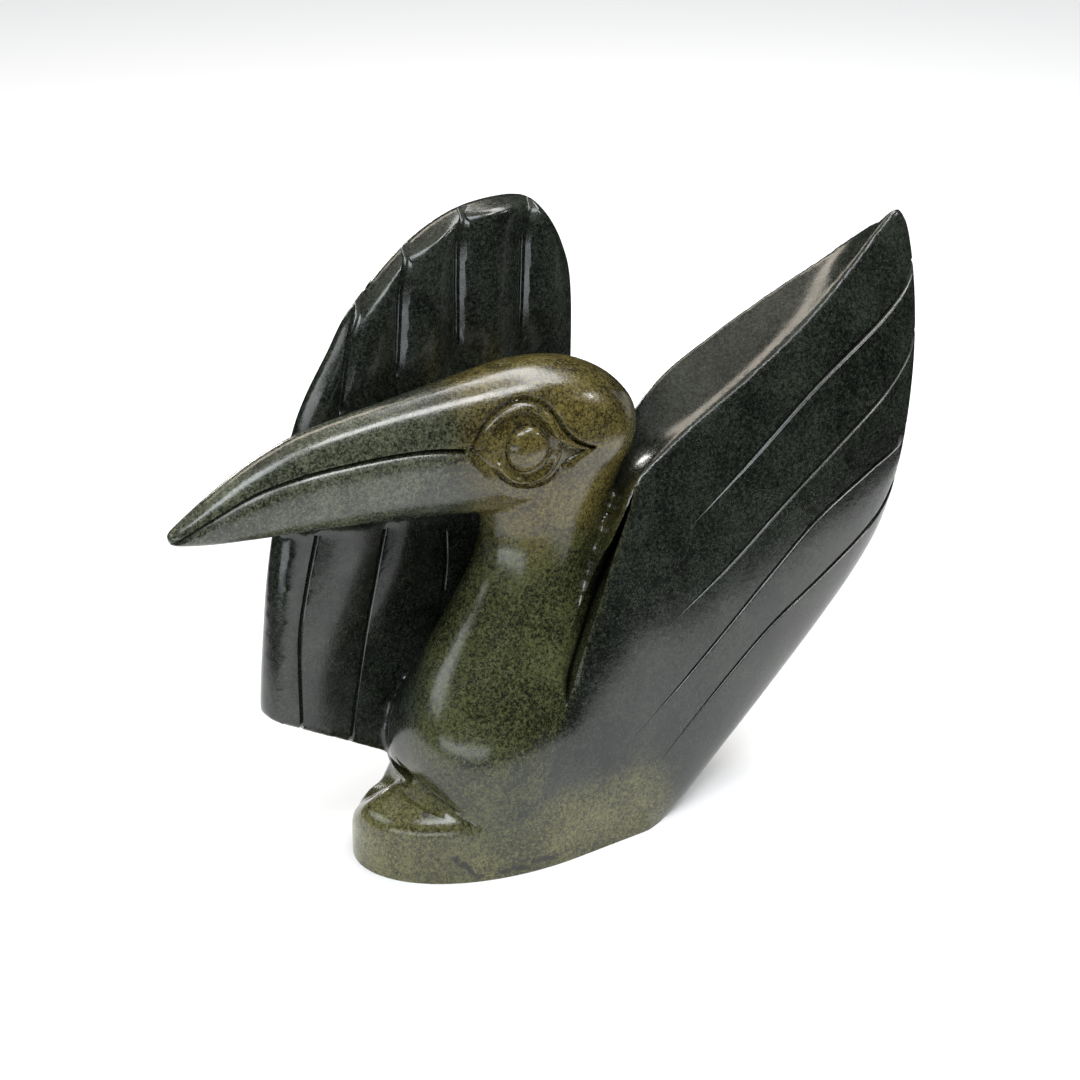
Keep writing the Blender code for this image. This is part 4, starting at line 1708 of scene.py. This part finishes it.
    def make(self) -> bpy.types.Material:
        """Build the material.

        Returns:
            The material.
        """
        material = bpy.data.materials.new("polished_serpentine")
        material.use_nodes = True
        board = NodeBoard(material.node_tree)
        shader = material.node_tree.nodes["Principled BSDF"]
        place = board.add("ShaderNodeTexCoord").outputs["Object"]
        drift = board.noise(place, self.drift_size, 3.0, 0.6).outputs["Color"]
        drift = board.vector("SUBTRACT", drift, (0.5, 0.5, 0.5)).outputs["Vector"]
        drift = board.vector("SCALE", drift, scale=self.drift_reach * MM).outputs["Vector"]
        warped = board.vector("ADD", place, drift).outputs["Vector"]
        dark, light = self.zone_colours(board, warped, place)
        cloud = board.noise(place, self.cloud_size, 4.0, 0.62, 0.4).outputs["Fac"]
        mottle = board.noise(place, self.mottle_size, 5.0, 0.66, 0.4).outputs["Fac"]
        speck = board.noise(place, self.speck_size, 2.0, 0.6).outputs["Fac"]
        total = board.math("MULTIPLY_ADD", cloud, 0.55, board.math("MULTIPLY", mottle, 1.0))
        total = board.math("MULTIPLY_ADD", speck, 0.60, total)
        share = board.remap(total, 0.88, 1.34)
        colour = board.mix(share, dark, light)
        grain = board.noise(place, self.grain_size, 2.0, 0.6).outputs["Fac"]
        glint = board.remap(grain, 0.66, 0.76)
        glint = board.math("MULTIPLY", glint, board.remap(mottle, 0.48, 0.62, 0.05, 0.4))
        colour = board.mix(glint, colour, board.mix(0.55, light, self.glint))
        flecks = board.noise(place, self.fleck_size, 4.0, 0.65, 1.2).outputs["Fac"]
        flecks = board.remap(flecks, 0.34, 0.42, 1.0, 0.0)
        colour = board.mix(board.math("MULTIPLY", flecks, 0.75), colour, self.fleck)
        colour = self.add_veins(board, place, colour)
        # Painted shade: darken the colour where the stone is shut in, in carved lines and creases.
        colour = board.mix(self.painted_crevice_shade(board), self.crevice_shade_colour, colour)
        board.feed(shader.inputs["Base Color"], colour)
        wear = board.noise(place, self.wear_size, 5.0, 0.6).outputs["Fac"]
        worn = board.math("MULTIPLY_ADD", speck, 0.5, board.math("MULTIPLY", wear, 0.6))
        board.feed(shader.inputs["Roughness"], board.remap(worn, 0.38, 0.72, self.rough_low, self.rough_high))
        shader.inputs["IOR"].default_value = self.refraction
        shader.inputs["Coat Weight"].default_value = self.coat
        shader.inputs["Coat Roughness"].default_value = self.coat_rough
        bump = board.add("ShaderNodeBump")
        bump.inputs["Strength"].default_value = self.bump
        bump.inputs["Distance"].default_value = self.bump_height * MM
        relief = board.noise(place, self.relief_size, 5.0, 0.6).outputs["Fac"]
        relief = board.math("MULTIPLY_ADD", speck, 0.35, relief)
        board.feed(bump.inputs["Height"], relief)
        board.feed(shader.inputs["Normal"], bump.outputs["Normal"])
        return material

    def painted_crevice_shade(self, board: NodeBoard) -> bpy.types.NodeSocket:
        """Measure how open the stone is to the air around it, for painted shade.

        Args:
            board: Where the nodes go.

        Returns:
            The openness, near zero in carved lines and creases, where the colour is darkened as painted
            shade.
        """
        open_sky = board.add("ShaderNodeAmbientOcclusion", samples=6, only_local=True)
        open_sky.inputs["Distance"].default_value = self.crevice_shade_reach * MM
        return board.remap(open_sky.outputs["AO"], 0.28, 0.74)

    def add_veins(self, board: NodeBoard, place: object, colour: object) -> bpy.types.NodeSocket:
        """Lay the dark hairlines over the stone's colour.

        Args:
            board: Where the nodes go.
            place: The place, as an output.
            colour: The colour so far.

        Returns:
            The colour with veins.
        """
        jitter = board.noise(place, self.jitter_size, 4.0, 0.7).outputs["Color"]
        jitter = board.vector("SUBTRACT", jitter, (0.5, 0.5, 0.5)).outputs["Vector"]
        jitter = board.vector("SCALE", jitter, scale=self.jitter_reach * MM).outputs["Vector"]
        crooked = board.vector("ADD", place, jitter).outputs["Vector"]
        for vein in self.veins:
            far = self.bar_distance(board, crooked, vein.start, vein.end)
            share = board.remap(far, 0.35 * vein.width * MM, 1.9 * vein.width * MM, vein.strength, 0.0)
            colour = board.mix(share, colour, self.vein)
        cells = board.add("ShaderNodeTexVoronoi", feature="DISTANCE_TO_EDGE")
        board.feed(cells.inputs["Vector"], crooked)
        cells.inputs["Scale"].default_value = 32.0
        thin = board.remap(cells.outputs["Distance"], 0.0, 0.022, 1.0, 0.0)
        some = board.remap(board.noise(place, 30.0, 2.0, 0.5).outputs["Fac"], 0.56, 0.66, 0.0, 0.7)
        return board.mix(board.math("MULTIPLY", thin, some), colour, self.vein)


@dataclass(frozen=True)
class PaleSheet:
    """Matt pale studio paper."""

    shade: float = 0.76
    rough: float = 0.9
    glow: float = 0.14

    def make(self) -> bpy.types.Material:
        """Build the material.

        Returns:
            The material.
        """
        material = bpy.data.materials.new("pale_paper")
        material.use_nodes = True
        shader = material.node_tree.nodes["Principled BSDF"]
        shader.inputs["Base Color"].default_value = (self.shade, self.shade, self.shade, 1.0)
        shader.inputs["Roughness"].default_value = self.rough
        shader.inputs["Emission Color"].default_value = (1.0, 1.0, 1.0, 1.0)
        shader.inputs["Emission Strength"].default_value = self.glow
        return material


# Studio.


@dataclass(frozen=True)
class SoftBox:
    """Soft lamp seen from the bird at a compass angle and a height angle."""

    name: str
    turn: float
    rise: float
    away: float
    wide: float
    high: float
    power: float
    tint: Colour = (1.0, 1.0, 1.0)

    def build(self, aim: Vector) -> bpy.types.Object:
        """Hang the lamp so that it looks at the bird.

        Args:
            aim: Where it looks.

        Returns:
            The lamp.
        """
        turn = math.radians(self.turn)
        rise = math.radians(self.rise)
        way = Vector((math.sin(turn) * math.cos(rise), math.cos(turn) * math.cos(rise), math.sin(rise)))
        light = bpy.data.lights.new(self.name, "AREA")
        light.shape = "RECTANGLE"
        light.size = self.wide
        light.size_y = self.high
        light.energy = self.power
        light.color = self.tint
        lamp = bpy.data.objects.new(self.name, light)
        bpy.context.scene.collection.objects.link(lamp)
        lamp.location = aim + way * self.away
        lamp.rotation_euler = (-way).to_track_quat("-Z", "Y").to_euler()
        return lamp


@dataclass
class Studio:
    """Pale floor, soft lamps and a quiet room."""

    aim: Point3 = (20.0, 0.0, 127.0)
    table_radius: float = 0.46
    floor_half: float = 6.0
    below_table: float = 0.0004
    boxes: tuple[SoftBox, ...] = (
        SoftBox("top_box", 82.0, 60.0, 1.30, 1.05, 0.38, 10.5),
        SoftBox("spot_box", 124.0, 28.0, 1.30, 0.10, 0.08, 1.2),
        SoftBox("beak_box", 150.0, 60.0, 1.40, 0.50, 0.24, 6.0),
        SoftBox("left_box", -66.0, 30.0, 1.20, 0.70, 0.44, 3.2, (0.96, 0.99, 1.0)),
        SoftBox("wing_box", -142.0, 62.0, 1.20, 0.70, 0.36, 6.5, (0.92, 0.97, 1.0)),
        SoftBox("flute_strip", -122.0, 2.0, 0.90, 1.05, 0.16, 2.0, (0.92, 0.97, 1.0)),
        SoftBox("back_low", 6.0, 12.0, 1.20, 0.24, 0.20, 2.0, (1.0, 0.97, 0.92)),
        SoftBox("back_high", 8.0, 47.0, 1.50, 1.10, 0.34, 6.0, (1.0, 0.90, 0.78)),
    )

    def build(self) -> None:
        """Set out the floor, the lamps and the room."""
        paper = PaleSheet().make()
        self.disc("table", self.table_radius, 0.0, paper)
        room = self.disc("floor", self.floor_half, -self.below_table, paper)
        room.visible_glossy = False
        aim = Vector(self.aim) * MM
        for box in self.boxes:
            box.build(aim)
        self.room()

    @staticmethod
    def disc(name: str, radius: float, height: float, paper: bpy.types.Material) -> bpy.types.Object:
        """Lay a round sheet on the floor.

        Args:
            name: Name of the sheet.
            radius: Its radius in metres.
            height: How high it lies.
            paper: Its material.

        Returns:
            The sheet.
        """
        mesh = bmesh.new()
        bmesh.ops.create_circle(mesh, cap_ends=True, radius=radius, segments=96)
        data = bpy.data.meshes.new(name)
        mesh.to_mesh(data)
        mesh.free()
        data.materials.append(paper)
        sheet = bpy.data.objects.new(name, data)
        bpy.context.scene.collection.objects.link(sheet)
        sheet.location.z = height
        return sheet

    @staticmethod
    def room() -> None:
        """Set a pale room that the polish sees as dim."""
        world = bpy.data.worlds.new("room")
        bpy.context.scene.world = world
        world.use_nodes = True
        tree = world.node_tree
        board = NodeBoard(tree)
        back = tree.nodes["Background"]
        path = board.add("ShaderNodeLightPath")
        place = board.add("ShaderNodeTexCoord").outputs["Generated"]
        split = board.add("ShaderNodeSeparateXYZ")
        board.feed(split.inputs[0], place)
        ceiling = board.remap(split.outputs["Z"], 0.72, 1.0)
        dim = board.mix(ceiling, (0.010, 0.011, 0.011), (0.70, 0.66, 0.58))
        overhead = board.remap(split.outputs["Z"], -0.1, 0.9)
        soft = board.mix(overhead, (0.10, 0.10, 0.10), (0.80, 0.82, 0.84))
        colour = board.mix(path.outputs["Is Glossy Ray"], soft, dim)
        colour = board.mix(path.outputs["Is Camera Ray"], colour, (0.93, 0.93, 0.93))
        board.feed(back.inputs["Color"], colour)
        back.inputs["Strength"].default_value = 1.0


@dataclass(frozen=True)
class CameraView:
    """Camera that looks at the bird from its front left, from above."""

    turn: float = 35.0
    drop: float = 25.0
    away: float = 1.0
    aim: Point3 = (23.5, 0.0, 127.0)
    width_at_aim: float = 0.4536
    sensor: float = 36.0
    clip: tuple[float, float] = (0.01, 50.0)

    def build(self) -> bpy.types.Object:
        """Place the camera and make it the scene's own.

        Returns:
            The camera.
        """
        turn = math.radians(self.turn)
        drop = math.radians(self.drop)
        way = Vector((math.sin(turn) * math.cos(drop), math.cos(turn) * math.cos(drop), -math.sin(drop)))
        right = Vector((math.cos(turn), -math.sin(turn), 0.0))
        up = right.cross(way)
        data = bpy.data.cameras.new("camera")
        data.sensor_width = self.sensor
        data.lens = self.sensor * self.away / self.width_at_aim
        data.clip_start, data.clip_end = self.clip
        camera = bpy.data.objects.new("camera", data)
        bpy.context.scene.collection.objects.link(camera)
        spot = Vector(self.aim) * MM - way * self.away
        camera.matrix_world = Matrix(
            (
                (right.x, up.x, -way.x, spot.x),
                (right.y, up.y, -way.y, spot.y),
                (right.z, up.z, -way.z, spot.z),
                (0.0, 0.0, 0.0, 1.0),
            )
        )
        bpy.context.scene.camera = camera
        return camera


# The sculpture.


@dataclass
class StoneBird:
    """The whole carving: masses, skin, relief and lines, and its finish."""

    head: HeadAndBeak = field(default_factory=HeadAndBeak)
    neck: BreastAndNeck = field(default_factory=BreastAndNeck)
    body: BodyAndLeftWing = field(default_factory=BodyAndLeftWing)
    base: StoneBase = field(default_factory=StoneBase)
    wing: RightWing = field(default_factory=RightWing)
    webs: StoneWebs = field(default_factory=StoneWebs)
    skin: StoneSkin = field(default_factory=StoneSkin)
    finish: PolishedSerpentine = field(default_factory=PolishedSerpentine)
    smooth_angle: float = 34.0

    def masses(self) -> list[bpy.types.Object]:
        """Make all masses of the bird.

        Returns:
            Body, base, neck, head, right wing and the webs between them.
        """
        parts = [self.body.build(), self.base.build(), self.neck.build(), self.head.build()]
        parts.append(self.wing.build())
        return parts + self.webs.build(self.wing)

    def carve(self, stone: bpy.types.Object) -> bpy.types.Object:
        """Cut the relief and the lines into the fused stone.

        Args:
            stone: The fused stone.

        Returns:
            The carved stone.
        """
        below = ((-150.0, 0.0), (150.0, 0.0), (150.0, -20.0), (-150.0, -20.0))
        carve_away(stone, side_wedge("below", below, -90.0, 90.0))
        carve_away(stone, self.wing.edge_cutter(self.wing.cut_floor))
        WingFlutes(self.wing).shape(stone)
        self.skin.thin(stone)
        find = surface_finder(stone)
        cutters = MouthLine().cutters(find, self.wing)
        cutters += FeatherLines(self.wing).cutters(find)
        cutters += [NeckSlit().cutter(), LedgeNotch().cutter()]
        EyeRelief().carve(stone)
        for cutter in cutters:
            carve_away(stone, cutter)
        return stone

    def build(self) -> bpy.types.Object:
        """Build the sculpture and put it in the frame's place.

        Returns:
            The finished sculpture.
        """
        stone = self.skin.cast(self.masses())
        log.info("skin: %d faces", len(stone.data.polygons))
        self.carve(stone)
        stone.name = "carved_bird"
        stone.data.name = "carved_bird"
        stone.data.materials.clear()
        stone.data.materials.append(self.finish.make())
        stone.data.shade_smooth()
        stone.data.set_sharp_from_angle(angle=math.radians(self.smooth_angle))
        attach(stone, "root")
        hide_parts(NODE)
        return stone


def main() -> None:
    """Build the scene in order and report each piece."""
    logging.basicConfig(level=logging.INFO, format="%(name)s: %(message)s")
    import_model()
    CameraView().build()
    Studio().build()
    log.info("studio is set out")
    bird = StoneBird().build()
    triangles = sum(len(face.vertices) - 2 for face in bird.data.polygons)
    log.info("%s: %d triangles", bird.name, triangles)
    bpy.context.scene.view_settings.view_transform = "Standard"


if __name__ == "__main__":
    main()
